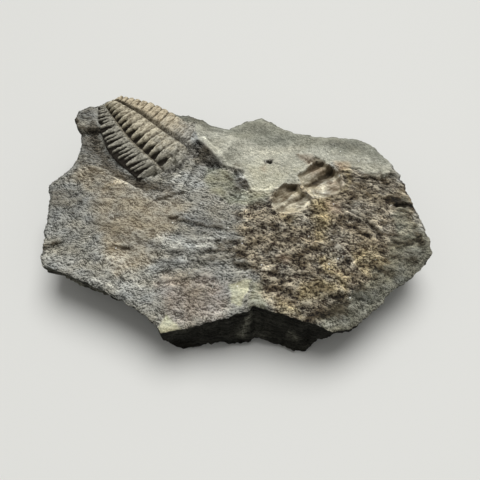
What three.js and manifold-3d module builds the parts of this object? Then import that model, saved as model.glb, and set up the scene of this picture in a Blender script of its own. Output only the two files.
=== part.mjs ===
// A loose slab of dark shale. The ribbed body of a trilobite stands up from its back left corner,
// and two small hollows beside the middle are the moulds that two other trilobites left behind.
// Millimetres, +Z up, +X to the viewer's right, +Y away from the viewer. The origin is on the
// surface that the slab rests on, under the middle of its box.
import * as THREE from "three";
import { mergeVertices } from "three/addons/utils/BufferGeometryUtils.js";
import Module from "manifold-3d";

// The slab's edge, in four runs between its corners. Each point has the place x, y of the top edge,
// the height of the broken side face below it, how far the foot of that face leans out, and how
// far the underside's edge lies in from the top edge.
const LEFT_RUN = [
  [-53, -17.5, 4, -0.5, 12],
  [-54, -14.5, 4.5, -0.5, 10],
  [-54, -10.5, 5, -0.5, 9],
  [-54, 3.5, 6, -0.5, 8],
  [-55.5, 9, 6, -0.5, 8],
  [-51, 12, 7, -0.4, 6],
  [-48, 15.5, 8, -0.4, 5],
  [-46.5, 20, 9, -0.3, 4],
  [-47, 25.5, 10, -0.3, 4],
  [-49.5, 30, 9, -0.8, 6],
];
const BACK_RUN = [
  [-49.5, 30, 9, -0.8, 6],
  [-48, 33, 9, -0.6, 6],
  [-45, 34.8, 9, -0.5, 6],
  [-42, 34.8, 9, -0.5, 6],
  [-39.5, 36.3, 10, -0.3, 6],
  [-37, 37.5, 11, 0, 6],
  [-33.5, 37.2, 11, 0, 5],
  [-27.5, 35.8, 11, 0, 5],
  [-22.5, 33.8, 11, 0, 5],
  [-18, 31.8, 11, 0, 5],
  [-13.5, 31, 10, -0.4, 5],
  [-9.5, 29.5, 10, -0.4, 5],
  [-6.5, 27.5, 10, -0.4, 4],
  [-2.5, 26.5, 10, -0.3, 4],
  [4.5, 29, 10, -0.4, 5],
  [9, 30.5, 10, -0.5, 6],
  [13, 28.5, 10, -0.4, 5],
  [18.5, 25.5, 10, -0.4, 5],
  [28, 24.5, 9, -0.4, 5],
  [38.5, 24.5, 9, -0.5, 5],
  [42.5, 22.5, 8, -0.5, 5],
];
const RIGHT_RUN = [
  [42.5, 22.5, 8, -0.5, 5],
  [47, 15.5, 8, -0.5, 6],
  [50.5, 8, 8, -0.5, 7],
  [51.5, 2.5, 8, -0.5, 7],
  [52.5, -1, 7, -0.5, 8],
  [55, -9.5, 6, -0.6, 9],
  [55.5, -14.5, 5, -0.6, 11],
];
const FRONT_RUN = [
  [-53, -17.5, 4, -0.5, 12],
  [-48, -19.5, 3.6, -0.2, 13],
  [-39, -23.5, 4, -0.2, 13],
  [-32, -27, 3.2, -0.3, 12],
  [-24.5, -31.5, 2.2, -0.6, 10],
  [-20.5, -35, 2.4, -0.4, 5],
  [-19, -37, 4, 0, 2],
  [-13.5, -36, 12.5, 1.2, -1.2],
  [-8.5, -35, 13, 1.9, -1],
  [-3, -34, 13.5, 2.6, 0.5],
  [3.5, -32.5, 14, 3.2, 2],
  [5.5, -31, 14.4, 4, 2],
  [10.5, -32.5, 15, 3.2, 1],
  [15, -33.8, 15.5, 3.8, -4.2],
  [19, -35, 15, 2.6, -3],
  [23, -36, 9, 0.6, 2],
  [26.5, -37.2, 4, 0, 8],
  [29.5, -36.3, 3, -0.8, 10],
  [34, -34, 3, -0.8, 11],
  [39, -30, 3, -0.8, 11],
  [42.5, -26, 3, -0.8, 11],
  [48.5, -22, 3.5, -0.8, 11],
  [53, -18, 4, -0.8, 11],
  [55.5, -14.5, 5, -0.6, 11],
];

// Heights of the top face, spread over the slab: x, y, height above the resting surface.
const SPOT_HEIGHTS = [
  [-47.5, 29, 20.4], [-44, 32, 21], [-43.5, 25.5, 19.8], [-43, 18.5, 17.8], [-45.5, 13.5, 16.6],
  [-38.5, 13, 17.6], [-33, 11, 17.7], [-26.5, 6, 17.9], [-38, 31, 20.2], [-33, 30, 20],
  [-26, 28, 19.8], [-33, 21, 18.6], [-25, 16, 18.2], [-18, 18, 19], [-18, 27, 19.6],
  [-10.5, 26, 19.6], [-53, 8, 14.8], [-51, -1, 14.6], [-52.5, -11.5, 13.5], [-52, -16.5, 13],
  [-44, 0, 16.4], [-44, -9, 15.4], [-44, -17, 14], [-37, -21.5, 13.6], [-37, 5, 18], [-27, -1, 18.8],
  [-35, -5.5, 17.2], [-33.5, -14, 15.6], [-29, -25.5, 13.6], [-23, -9.5, 18], [-22.5, -19, 16],
  [-22, -31, 13.2], [-16, -1, 18.4], [-14, -10.5, 17.8], [-12, -23, 15.8], [-12, -33.5, 12],
  [-15.5, 11, 17.8], [-8, 12, 17.6], [-6, 2.5, 18.2], [-3, -10, 18.2], [-1, -21.5, 17],
  [0, -31, 15.2], [8, -28.5, 16.6], [5, 4, 18.6], [8, -4, 18.6], [8, -16, 18.2], [-5, 21, 19.6],
  [5, 21.5, 19.6], [9, 28, 20], [15.5, 22.5, 19], [12, 10.5, 19.2], [2, 12, 19], [20, 18.5, 18.8],
  [29.5, 21, 18.3], [40.5, 19.5, 17.4], [35, 14, 18], [46, 12, 17], [33, 3, 18.8], [40.5, 4.5, 18],
  [49, 4, 16.4], [27, -6.5, 18.8], [38, -6.5, 18], [49.5, -5.5, 16.2], [18.5, -12.5, 18.8],
  [29, -16, 18.3], [41, -15.5, 17.2], [52, -15, 15.2], [18, -23, 17.8], [28.5, -25.5, 16.8],
  [38, -25, 15.8], [46.5, -20, 15.2], [14, -30.5, 16.6], [23, -33, 15.4], [31, -32, 14.6],
];
const SPOT_REACH = 7;

// Broken steps in the top face. The ground to the left of the line, walking along it, stands
// higher by rise and levels out again over reach on both sides.
const STEPS = [
  {
    name: "corner block",
    line: [[-39.5, 25.3], [-43.8, 25.7], [-48.5, 25.8]],
    rise: -1.8, width: 1, reach: 9,
  },
  {
    name: "face of the smooth step",
    line: [[-12.9, 18], [-11.4, 19.7], [-9.9, 19], [-8.8, 17.3], [-7, 15.4], [-5.2, 13.9]],
    rise: 3.8, width: 3.4, reach: 9,
  },
  {
    name: "low end of the smooth step",
    line: [[-4.6, 13.6], [0.2, 11.7], [2, 8.1], [5.2, 4]],
    rise: 1, width: 1.2, reach: 4,
  },
  {
    name: "bulge beside the fossil",
    line: [[-38.8, 10.2], [-35, 8.9], [-31.4, 7.4], [-27, 4.4], [-23.2, 1.1]],
    rise: -1.5, width: 1.6, reach: 5,
  },
  {
    name: "crack to the right of the bulge",
    line: [[-23.2, 1.1], [-18.7, 2.2], [-14, 4.4]],
    rise: 0.9, width: 0.8, reach: 3,
  },
  {
    name: "crack in the middle",
    line: [[-18.3, -4.6], [-16, -4.9], [-12, -6.4], [-7.8, -7.8]],
    rise: 0.8, width: 0.8, reach: 3,
  },
  {
    name: "lip at the left edge",
    line: [[-54.5, -12.2], [-51.2, -11.1], [-48.6, -10.4]],
    rise: 1, width: 0.7, reach: 3,
  },
  {
    name: "ledge at the right",
    line: [[38.8, 9], [42.8, 9.2], [46.6, 10.4], [51, 9.5]],
    rise: 1.1, width: 1, reach: 4,
  },
  {
    name: "curved ridge at the right",
    line: [[33.6, -3.4], [37.4, -5.4], [40, -8.2], [42, -11.7]],
    rise: 0.9, width: 1.2, reach: 3,
  },
  {
    name: "break in the lower right",
    line: [[24, -28.6], [29.9, -27.2], [34, -28.4]],
    rise: 1.2, width: 1.2, reach: 4,
  },
];

// Pits in the top face: centre, half length along x and y, depth.
const PITS = [
  { name: "pit at the right edge", x: 48.8, y: 0.8, halfX: 3, halfY: 1.6, depth: 2.2 },
  { name: "pit in front of the middle", x: 2.8, y: -20.2, halfX: 2.6, halfY: 1.4, depth: 1 },
  { name: "break in the left corner", x: -49.5, y: 26.5, halfX: 1.8, halfY: 3, depth: 3 },
  { name: "nick in the left half", x: -29.6, y: -13.9, halfX: 2.8, halfY: 1, depth: 0.9 },
];

// The lower right rim is bevelled: right of this place and in front of the other one, the top face
// drops over its last few millimetres.
const BEVEL_FROM_X = 21;
const BEVEL_FROM_Y = -10;
const BEVEL_FADE = [6, 8];
const BEVEL_WIDTH = 6;
const BEVEL_DROP = 2.2;
const EDGE_WEAR_WIDTH = 1.6;
const EDGE_WEAR = 0.4;

// Soft lumps all over the top face: how high they are and about how long along x and y.
const BIG_LUMPS = { rise: 0.45, x: 9, y: 7 };
const SMALL_LUMPS = { rise: 0.35, x: 4.6, y: 3.6 };

// The broken side faces: how far their chips reach, how many columns of the edge one chip takes, the
// lowest place of their foot, and where between it and the ground they turn in below.
const CHIP_REACH = 0.4;
const CHIP_COLUMNS = 2.5;
const LOWEST_FOOT = 1.2;
const TURN_IN_AT = 0.55;

// The trilobite's body. It is described along its axis, from tail to head, and across it.
const TAIL = new THREE.Vector2(-37, 32.5);
const AXIS = new THREE.Vector2(0.733, -0.68).normalize();
const LEFTWARD = new THREE.Vector2(AXIS.y, -AXIS.x);
const RINGS = 13;
const TAIL_LENGTH_IN_RINGS = 2;
const FIRST_RING = 1.15;
const RING_GROWTH = 0.2;
const GROWING_RINGS = 8;
const BODY_LENGTH = 29;
const AXIS_HALF_WIDTH = [1.6, 4.9];
// Heights above the resting surface, at the tail and at the head.
const CREST = [24.8, 23.2];
const LEFT_FLANK = {
  furrow: [22, 19.8],
  ridge: [23.2, 21.2],
  tip: [21.2, 19.2],
  width: 7,
  backSweep: [3.2, 2.6],
  bandGap: 0.35,
  ribGap: 1.7,
  ribFurrow: 1.2,
  endRing: 12.6,
};
const RIGHT_FLANK = {
  furrow: [22.7, 20.6],
  ridge: [23.7, 21.7],
  tip: [23, 20.5],
  width: 7.6,
  backSweep: [1.2, 1.8],
  bandGap: 0.45,
  ribGap: 0.6,
  ribFurrow: 0.1,
  endRing: 13,
};
// The flanks widen from this far behind the tail to their full width this far on.
const FLANK_START = 5;
const FLANK_GROWTH_LENGTH = 19;
const RIDGE_AT = 0.22;
const TIP_DROP = 3;
const HEAD_END_DROP = 4;
const RING_GAP_AT_FLANK = 1.2;
const RING_GAP_AT_CREST = 0.35;
const TAIL_DROP = 1.8;
const WORN_FROM_RING = 11;
const HEIGHT_IN_FRONT = 18.4;

// The two moulds: the outline of the rim, a point in the middle, and the floor's depth across the
// width, from the steep back left wall over the ridges to the low front right rim. Their ridges
// and grooves run at the same turn to +X.
const MOULD_TURN = 0.64;
const MOULD_ROWS = 10;
// The floor rises to the rim over these lengths at a mould's two ends, and the floor's depth is
// multiplied by these shares there.
const MOULD_END_SLOPES = [2, 1.3];
const MOULD_END_DEPTHS = [0.8, 1.1];
// The space cut out for a mould starts just above the ground at its rim and ends above the slab.
const MOULD_SPACE_OVER_RIM = 0.3;
const MOULD_SPACE_TOP = 40;
const MOULDS = [
  {
    name: "left mould",
    middle: [16.2, 1.2],
    outline: [
      [10.8, 0.2], [12.4, 4], [14.7, 6.3], [18.5, 5.8], [19.8, 3.5], [21.8, 1.8],
      [22.2, -0.6], [18.6, -3.7], [15.5, -3.7], [12, -3.2], [11, -1.3],
    ],
    floor: [[-4.9, 0], [-4.2, 1.5], [-2.4, 2.9], [-0.5, 1.7], [1.4, 2.4], [2.6, 1.5], [5.2, 0.3]],
  },
  {
    name: "right mould",
    middle: [25.4, 7.4],
    outline: [
      [18.3, 8.3], [21.5, 11.2], [24.4, 14.5], [26.5, 14.7], [28.8, 13.7], [30.4, 11.5], [31.9, 8.5],
      [31.8, 6.1], [29.9, 3.3], [28.2, 1.9], [25.4, 0.8], [23.1, 0.8], [21.2, 2.5], [19.9, 4.8],
    ],
    floor: [[-6.1, 0], [-5.2, 1.7], [-3.7, 0.9], [-1.2, 3.3], [0.8, 2], [2.8, 1.9], [3.8, 1.5], [6, 0.3]],
  },
];

// Fineness of the faceted solids.
const SLAB_COLUMNS = 44;
const SLAB_ROWS = 30;
const ROWS_PER_RING = [0, 0.14, 0.36, 0.5, 0.64, 0.86];
const FLANK_COLUMNS = [0, 0.12, 0.24, 0.4, 0.56, 0.7, 0.82, 0.92, 1];
const AXIS_COLUMNS = [-0.82, -0.45, 0, 0.45, 0.82];
const FOSSIL_FLOOR = 12;
const WELD_DISTANCE = 1e-4;

const lerp = THREE.MathUtils.lerp;
const clamp = THREE.MathUtils.clamp;
const smooth = THREE.MathUtils.smoothstep;

// The rock's surface

function spotHeight(x, y) {
  let sum = 0;
  let total = 0;
  for (const [spotX, spotY, height] of SPOT_HEIGHTS) {
    const weight = Math.exp(-((x - spotX) ** 2 + (y - spotY) ** 2) / SPOT_REACH ** 2);
    sum += weight * height;
    total += weight;
  }
  return sum / total;
}

// Distance from a point to a line of points, positive to the left of the line, and whether the
// nearest place is one of its two ends.
function distanceToLine(x, y, line) {
  let best = { distance: Infinity, side: 1, pastEnd: 0 };
  for (let i = 0; i + 1 < line.length; i += 1) {
    const [ax, ay] = line[i];
    const [bx, by] = line[i + 1];
    const length = Math.hypot(bx - ax, by - ay);
    const along = ((x - ax) * (bx - ax) + (y - ay) * (by - ay)) / length;
    const held = clamp(along, 0, length);
    const distance = Math.hypot(x - ax - (bx - ax) * held / length, y - ay - (by - ay) * held / length);
    if (distance < best.distance) {
      const side = Math.sign((bx - ax) * (y - ay) - (by - ay) * (x - ax)) || 1;
      const isEnd = (i === 0 && along < 0) || (i === line.length - 2 && along > length);
      best = { distance, side, pastEnd: isEnd ? Math.abs(along - held) : 0 };
    }
  }
  return best;
}

function stepHeight(x, y, { line, rise, width, reach }) {
  const { distance, side, pastEnd } = distanceToLine(x, y, line);
  const across = smooth(distance, 0, width / 2);
  return (rise / 2) * side * across * Math.exp(-distance / reach) * Math.exp(-pastEnd);
}

function pitDepth(x, y, { x: pitX, y: pitY, halfX, halfY, depth }) {
  const r = ((x - pitX) / halfX) ** 2 + ((y - pitY) / halfY) ** 2;
  return r < 1 ? depth * (1 - r) ** 1.5 : 0;
}

function edgeDistance(x, y) {
  const runs = [LEFT_RUN, BACK_RUN, RIGHT_RUN, FRONT_RUN];
  return Math.min(...runs.map((run) => distanceToLine(x, y, run).distance));
}

// Smooth lumps of about one unit, between -1 and 1, that are the same on every run.
function lumps(x, y) {
  const corner = (i, j) => {
    const mixed = Math.sin(i * 127.1 + j * 311.7) * 43758.5453;
    return (mixed - Math.floor(mixed)) * 2 - 1;
  };
  const [i, j] = [Math.floor(x), Math.floor(y)];
  const [u, v] = [smooth(x - i, 0, 1), smooth(y - j, 0, 1)];
  const near = lerp(corner(i, j), corner(i + 1, j), u);
  const far = lerp(corner(i, j + 1), corner(i + 1, j + 1), u);
  return lerp(near, far, v);
}

function unevenness(x, y) {
  const big = BIG_LUMPS.rise * lumps(x / BIG_LUMPS.x, y / BIG_LUMPS.y);
  return big + SMALL_LUMPS.rise * lumps(x / SMALL_LUMPS.x + 7, y / SMALL_LUMPS.y + 3);
}

function groundHeight(x, y) {
  let height = spotHeight(x, y) + unevenness(x, y);
  for (const step of STEPS) {
    height += stepHeight(x, y, step);
  }
  for (const pit of PITS) {
    height -= pitDepth(x, y, pit);
  }
  const fromEdge = edgeDistance(x, y);
  height -= EDGE_WEAR * (1 - smooth(fromEdge, 0, EDGE_WEAR_WIDTH));
  const rightShare = smooth(x, BEVEL_FROM_X, BEVEL_FROM_X + BEVEL_FADE[0]);
  const frontShare = 1 - smooth(y, BEVEL_FROM_Y - BEVEL_FADE[1], BEVEL_FROM_Y);
  return height - BEVEL_DROP * rightShare * frontShare * (1 - smooth(fromEdge, 0, BEVEL_WIDTH));
}

// The slab

function resample(run, count) {
  const lengths = [0];
  for (let i = 1; i < run.length; i += 1) {
    lengths.push(lengths[i - 1] + Math.hypot(run[i][0] - run[i - 1][0], run[i][1] - run[i - 1][1]));
  }
  const samples = [];
  for (let k = 0; k <= count; k += 1) {
    const wanted = lengths.at(-1) * k / count;
    const i = clamp(lengths.findIndex((length) => length >= wanted), 1, run.length - 1);
    const share = (wanted - lengths[i - 1]) / (lengths[i] - lengths[i - 1]);
    samples.push(run[i].map((value, column) => lerp(run[i - 1][column], value, share)));
  }
  return samples;
}

function buildSlab() {
  const front = resample(FRONT_RUN, SLAB_COLUMNS);
  const back = resample(BACK_RUN, SLAB_COLUMNS);
  const left = resample(LEFT_RUN, SLAB_ROWS);
  const right = resample(RIGHT_RUN, SLAB_ROWS).reverse();
  const positions = [];
  const triangles = [];
  const addPoint = (x, y, z) => positions.push(x, y, z) / 3 - 1;
  const addQuad = (a, b, c, d) => triangles.push(a, b, c, a, c, d);

  // The top is a sheet stretched between the four runs.
  const top = [];
  for (let j = 0; j <= SLAB_ROWS; j += 1) {
    const v = j / SLAB_ROWS;
    top.push([]);
    for (let i = 0; i <= SLAB_COLUMNS; i += 1) {
      const u = i / SLAB_COLUMNS;
      const [x, y] = [0, 1].map((axis) => {
        const acrossRuns = lerp(front[i][axis], back[i][axis], v) + lerp(left[j][axis], right[j][axis], u);
        const frontCorners = lerp(front[0][axis], front.at(-1)[axis], u);
        const backCorners = lerp(back[0][axis], back.at(-1)[axis], u);
        return acrossRuns - lerp(frontCorners, backCorners, v);
      });
      top[j].push(addPoint(x, y, groundHeight(x, y)));
    }
  }
  for (let j = 0; j < SLAB_ROWS; j += 1) {
    for (let i = 0; i < SLAB_COLUMNS; i += 1) {
      addQuad(top[j][i], top[j][i + 1], top[j + 1][i + 1], top[j + 1][i]);
    }
  }

  // The sides go round the edge, down the broken face and in to the underside.
  const edge = [];
  front.slice(0, -1).forEach((point, i) => edge.push([top[0][i], point]));
  right.slice(0, -1).forEach((point, j) => edge.push([top[j][SLAB_COLUMNS], point]));
  back.slice(1).reverse().forEach((point, i) => edge.push([top[SLAB_ROWS][SLAB_COLUMNS - i], point]));
  left.slice(1).reverse().forEach((point, j) => edge.push([top[SLAB_ROWS - j][0], point]));
  const facePoint = (x, y, out, z) => {
    const scale = 1 + out / Math.hypot(x, y);
    return addPoint(x * scale, y * scale, z);
  };
  const rings = [edge.map(([index]) => index), [], [], [], []];
  edge.forEach(([index, [x, y, face, lean, undercut]], k) => {
    const topZ = positions[index * 3 + 2];
    const foot = Math.max(topZ - face, LOWEST_FOOT);
    const chip = CHIP_REACH * lumps(k / CHIP_COLUMNS, 20);
    const slope = clamp(undercut / 4, 0, 1);
    rings[1].push(facePoint(x, y, lean / 2 + chip - CHIP_REACH / 2, lerp(topZ, foot, 0.5 + 0.4 * chip)));
    rings[2].push(facePoint(x, y, lean - Math.abs(chip), foot));
    rings[3].push(facePoint(x, y, lerp(lean, -undercut, 0.4 + slope * chip / 2), foot * TURN_IN_AT));
    rings[4].push(facePoint(x, y, -undercut, 0));
  });
  for (let level = 0; level + 1 < rings.length; level += 1) {
    for (let k = 0; k < edge.length; k += 1) {
      const next = (k + 1) % edge.length;
      addQuad(rings[level][k], rings[level + 1][k], rings[level + 1][next], rings[level][next]);
    }
  }
  closeUnderneath(positions, triangles, rings.at(-1));
  return solid(positions, triangles);
}

function closeUnderneath(positions, triangles, ring) {
  const contour = ring.map((index) => new THREE.Vector2(positions[index * 3], positions[index * 3 + 1]));
  for (const [a, b, c] of THREE.ShapeUtils.triangulateShape(contour, [])) {
    triangles.push(ring[a], ring[c], ring[b]);
  }
}

// The places, as row and column, round the border of a grid: up the first column, along the last
// row, down the last column and back along the first row.
function borderOfGrid(lastRow, lastColumn) {
  const places = [];
  for (let row = 0; row < lastRow; row += 1) {
    places.push([row, 0]);
  }
  for (let column = 0; column < lastColumn; column += 1) {
    places.push([lastRow, column]);
  }
  for (let row = lastRow; row > 0; row -= 1) {
    places.push([row, lastColumn]);
  }
  for (let column = lastColumn; column > 0; column -= 1) {
    places.push([0, column]);
  }
  return places;
}

// The trilobite

function ringStart(ring) {
  const growing = Math.min(ring, GROWING_RINGS);
  const grown = FIRST_RING * growing + (RING_GROWTH / 2) * growing * Math.abs(growing);
  return grown + Math.max(0, ring - GROWING_RINGS) * (FIRST_RING + RING_GROWTH * GROWING_RINGS);
}

// How open a gap is at this share of a segment, 1 on the line between two segments.
function gapAt(share, halfWidth) {
  const distance = Math.min(share, 1 - share);
  return 1 - smooth(distance, 0, halfWidth);
}

// A point of the body. ring counts segments from the tail, side is -1 on the right flank, 0 on the
// axis and 1 on the left flank, and share goes across that part, outwards on a flank.
function bodyPoint(ring, side, share) {
  const along = ringStart(ring);
  const age = clamp(along / BODY_LENGTH, 0, 1);
  const segment = ring - Math.floor(ring);
  const ribbed = smooth(ring, -0.2, 0.6);
  const gap = gapAt(segment, 0.15);
  const axisHalf = lerp(...AXIS_HALF_WIDTH, age ** 0.6) * smooth(ring, -4, 0.5);
  const flank = side > 0 ? LEFT_FLANK : RIGHT_FLANK;
  const ridge = lerp(...flank.ridge, age);
  const furrow = lerp(...flank.furrow, age);
  let s = along;
  let across = axisHalf * share;
  let height;
  if (side === 0) {
    const edge = lerp(...(share > 0 ? LEFT_FLANK : RIGHT_FLANK).furrow, age);
    height = lerp(edge, lerp(...CREST, age), (1 - share * share) ** 0.7);
    const depth = lerp(RING_GAP_AT_CREST, RING_GAP_AT_FLANK, smooth(Math.abs(share), 0.1, 0.7));
    height -= ribbed * depth * gapAt(segment, 0.3) * (1 - smooth(Math.abs(share), 0.75, 1));
  } else {
    const grown = clamp((along + FLANK_START) / FLANK_GROWTH_LENGTH, 0, 1);
    const growth = Math.sin(Math.PI / 2 * grown) ** 1.2;
    s -= lerp(...flank.backSweep, age) * smooth(ring, -3.5, 1.5) * share ** 1.3;
    across = side * (axisHalf + flank.width * growth * share);
    const slope = clamp((share - RIDGE_AT) / (1 - RIDGE_AT), 0, 1);
    height = lerp(ridge, lerp(...flank.tip, age), slope ** 1.5);
    height -= (ridge - furrow) * (1 - smooth(share, 0, RIDGE_AT));
    height -= ribbed * flank.bandGap * gap * smooth(share, 0.02, 0.2);
    height -= ribbed * flank.ribGap * gap * smooth(share, 0.25, 0.75);
    height -= ribbed * flank.ribFurrow * gapAt((segment + 0.5) % 1, 0.14) * smooth(share, 0.4, 0.8);
    height -= TIP_DROP * smooth(share, 0.9 - 0.12 * gap, 1);
    const end = flank.endRing - 0.8 * (1 - share);
    height -= HEAD_END_DROP * smooth(ring, end, end + 0.2) * smooth(share, 0.05, 0.3);
  }
  height -= TAIL_DROP * (1 - smooth(ring, -2.2, 1));
  height = lerp(height, Math.min(height, HEIGHT_IN_FRONT), smooth(ring, WORN_FROM_RING, RINGS + 0.2) ** 1.6);
  const x = TAIL.x + AXIS.x * s + LEFTWARD.x * across;
  const y = TAIL.y + AXIS.y * s + LEFTWARD.y * across;
  return [x, y, height];
}

function buildTrilobite() {
  const columns = [
    ...FLANK_COLUMNS.toReversed().map((share) => [1, share]),
    ...AXIS_COLUMNS.toReversed().map((share) => [0, share]),
    ...FLANK_COLUMNS.map((share) => [-1, share]),
  ];
  const rows = [-TAIL_LENGTH_IN_RINGS, -TAIL_LENGTH_IN_RINGS / 2];
  for (let ring = 0; ring < RINGS; ring += 1) {
    rows.push(...ROWS_PER_RING.map((share) => ring + share));
  }
  rows.push(RINGS, RINGS + 0.2);
  const positions = [];
  const triangles = [];
  for (const ring of rows) {
    for (const [side, share] of columns) {
      positions.push(...bodyPoint(ring, side, share));
    }
  }
  const at = (row, column) => row * columns.length + column;
  for (let row = 0; row + 1 < rows.length; row += 1) {
    for (let column = 0; column + 1 < columns.length; column += 1) {
      const quad = [at(row, column), at(row + 1, column), at(row + 1, column + 1), at(row, column + 1)];
      triangles.push(quad[0], quad[1], quad[2], quad[0], quad[2], quad[3]);
    }
  }
  const lastRow = rows.length - 1;
  const lastColumn = columns.length - 1;
  const border = borderOfGrid(lastRow, lastColumn).map((place) => at(...place));
  const foot = border.map((index) => {
    positions.push(positions[index * 3], positions[index * 3 + 1], FOSSIL_FLOOR);
    return positions.length / 3 - 1;
  });
  border.forEach((index, k) => {
    const next = (k + 1) % border.length;
    triangles.push(index, foot[k], foot[next], index, foot[next], border[next]);
  });
  closeUnderneath(positions, triangles, foot);
  return solid(positions, triangles);
}

// The moulds

function floorDepth(across, floor) {
  const i = clamp(floor.findIndex(([place]) => place >= across), 1, floor.length - 1);
  const [fromPlace, fromDepth] = floor[i - 1];
  const [toPlace, toDepth] = floor[i];
  return lerp(fromDepth, toDepth, smooth(across, fromPlace, toPlace));
}

// The two places where a line along the mould, at this distance across, crosses the outline.
function chordEnds(outline, across) {
  const crossings = [];
  outline.forEach((from, k) => {
    const to = outline[(k + 1) % outline.length];
    if ((from.y - across) * (to.y - across) <= 0 && from.y !== to.y) {
      crossings.push(lerp(from.x, to.x, (across - from.y) / (to.y - from.y)));
    }
  });
  return [Math.min(...crossings), Math.max(...crossings)];
}

// The space that a mould leaves: a sheet along its floor, a flat sheet well above the slab, and
// walls between the two.
function buildMouldSpace({ middle, outline, floor }) {
  const centre = new THREE.Vector2(...middle);
  const origin = new THREE.Vector2();
  const toLocal = ([x, y]) => new THREE.Vector2(x, y).sub(centre).rotateAround(origin, -MOULD_TURN);
  const rim = outline.map(toLocal).map(({ x, y }) => new THREE.Vector2(x, -y));
  const places = floor.map(([place]) => place);
  const columns = places.slice(1).flatMap((place, k) => [places[k], (places[k] + place) / 2]);
  columns.push(places.at(-1));
  const positions = [];
  const triangles = [];
  const sheets = [[], []];
  columns.forEach((across, column) => {
    const [from, to] = chordEnds(rim, across);
    for (let row = 0; row <= MOULD_ROWS; row += 1) {
      const share = row / MOULD_ROWS;
      const along = lerp(from, to, share);
      const { x, y } = new THREE.Vector2(along, -across).rotateAround(origin, MOULD_TURN).add(centre);
      const open = smooth(along - from, 0, MOULD_END_SLOPES[0]) * smooth(to - along, 0, MOULD_END_SLOPES[1]);
      const depth = floorDepth(across, floor) * lerp(...MOULD_END_DEPTHS, share) * open;
      const isRim = row % MOULD_ROWS === 0 || column % (columns.length - 1) === 0;
      positions.push(x, y, groundHeight(x, y) - depth + (isRim ? MOULD_SPACE_OVER_RIM : 0));
      sheets[0].push(positions.length / 3 - 1);
    }
  });
  for (const index of sheets[0]) {
    positions.push(positions[index * 3], positions[index * 3 + 1], MOULD_SPACE_TOP);
    sheets[1].push(positions.length / 3 - 1);
  }
  const at = (sheet, column, row) => sheets[sheet][column * (MOULD_ROWS + 1) + row];
  const addQuad = (a, b, c, d) => triangles.push(a, b, c, a, c, d);
  for (let column = 0; column + 1 < columns.length; column += 1) {
    for (let row = 0; row < MOULD_ROWS; row += 1) {
      const corners = [[column, row], [column, row + 1], [column + 1, row + 1], [column + 1, row]];
      addQuad(...corners.map((corner) => at(0, ...corner)));
      addQuad(...corners.toReversed().map((corner) => at(1, ...corner)));
    }
  }
  const border = borderOfGrid(MOULD_ROWS, columns.length - 1);
  border.forEach(([row, column], k) => {
    const [nextRow, nextColumn] = border[(k + 1) % border.length];
    const here = [column, row];
    const next = [nextColumn, nextRow];
    addQuad(at(0, ...next), at(0, ...here), at(1, ...here), at(1, ...next));
  });
  return solid(positions, triangles);
}

// Solids and meshes

const wasm = await Module();
wasm.setup();

function solid(positions, triangles) {
  const merged = mergeVertices(new THREE.BufferGeometry()
    .setAttribute("position", new THREE.Float32BufferAttribute(positions, 3))
    .setIndex(triangles), WELD_DISTANCE);
  return new wasm.Manifold(new wasm.Mesh({
    numProp: 3,
    vertProperties: new Float32Array(merged.attributes.position.array),
    triVerts: new Uint32Array(merged.index.array),
  }));
}

function geometryOf(manifold) {
  const { vertProperties, triVerts, numProp } = manifold.getMesh();
  const positions = new Float32Array(vertProperties.length / numProp * 3);
  for (let i = 0; i < positions.length / 3; i += 1) {
    positions.set(vertProperties.slice(i * numProp, i * numProp + 3), i * 3);
  }
  const geometry = new THREE.BufferGeometry();
  geometry.setAttribute("position", new THREE.BufferAttribute(positions, 3));
  geometry.setIndex(new THREE.BufferAttribute(new Uint32Array(triVerts), 1));
  geometry.computeVertexNormals();
  return geometry;
}

let slabWithFossil = buildSlab().add(buildTrilobite());
for (const mould of MOULDS) {
  slabWithFossil = slabWithFossil.subtract(buildMouldSpace(mould));
}

const shale = new THREE.MeshStandardMaterial({ color: 0x6b665d, roughness: 0.92, metalness: 0 });
const slabMesh = new THREE.Mesh(geometryOf(slabWithFossil), shale);
slabMesh.name = "fossil_slab";

const group = new THREE.Group();
group.add(slabMesh);

export default group;
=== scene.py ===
# A loose slab of dark shale with the ribbed body of a trilobite at its back left corner and two
# small moulds beside the middle. The rock and the fossil are fine meshes in place of the plain solid.
import math
from collections import namedtuple

import bpy
import numpy as np
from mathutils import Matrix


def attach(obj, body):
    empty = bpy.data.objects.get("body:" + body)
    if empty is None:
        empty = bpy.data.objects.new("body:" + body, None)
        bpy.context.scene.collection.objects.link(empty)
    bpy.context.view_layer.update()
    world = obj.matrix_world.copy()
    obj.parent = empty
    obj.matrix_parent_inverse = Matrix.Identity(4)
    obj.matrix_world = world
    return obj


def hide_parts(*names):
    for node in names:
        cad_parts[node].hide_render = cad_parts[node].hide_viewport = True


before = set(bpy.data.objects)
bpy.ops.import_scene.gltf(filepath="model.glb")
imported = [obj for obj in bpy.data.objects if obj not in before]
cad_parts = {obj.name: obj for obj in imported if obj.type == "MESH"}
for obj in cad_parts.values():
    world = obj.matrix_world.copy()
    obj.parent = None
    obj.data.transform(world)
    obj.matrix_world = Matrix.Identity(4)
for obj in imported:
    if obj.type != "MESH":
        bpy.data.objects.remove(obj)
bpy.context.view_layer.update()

MM = 0.001

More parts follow.
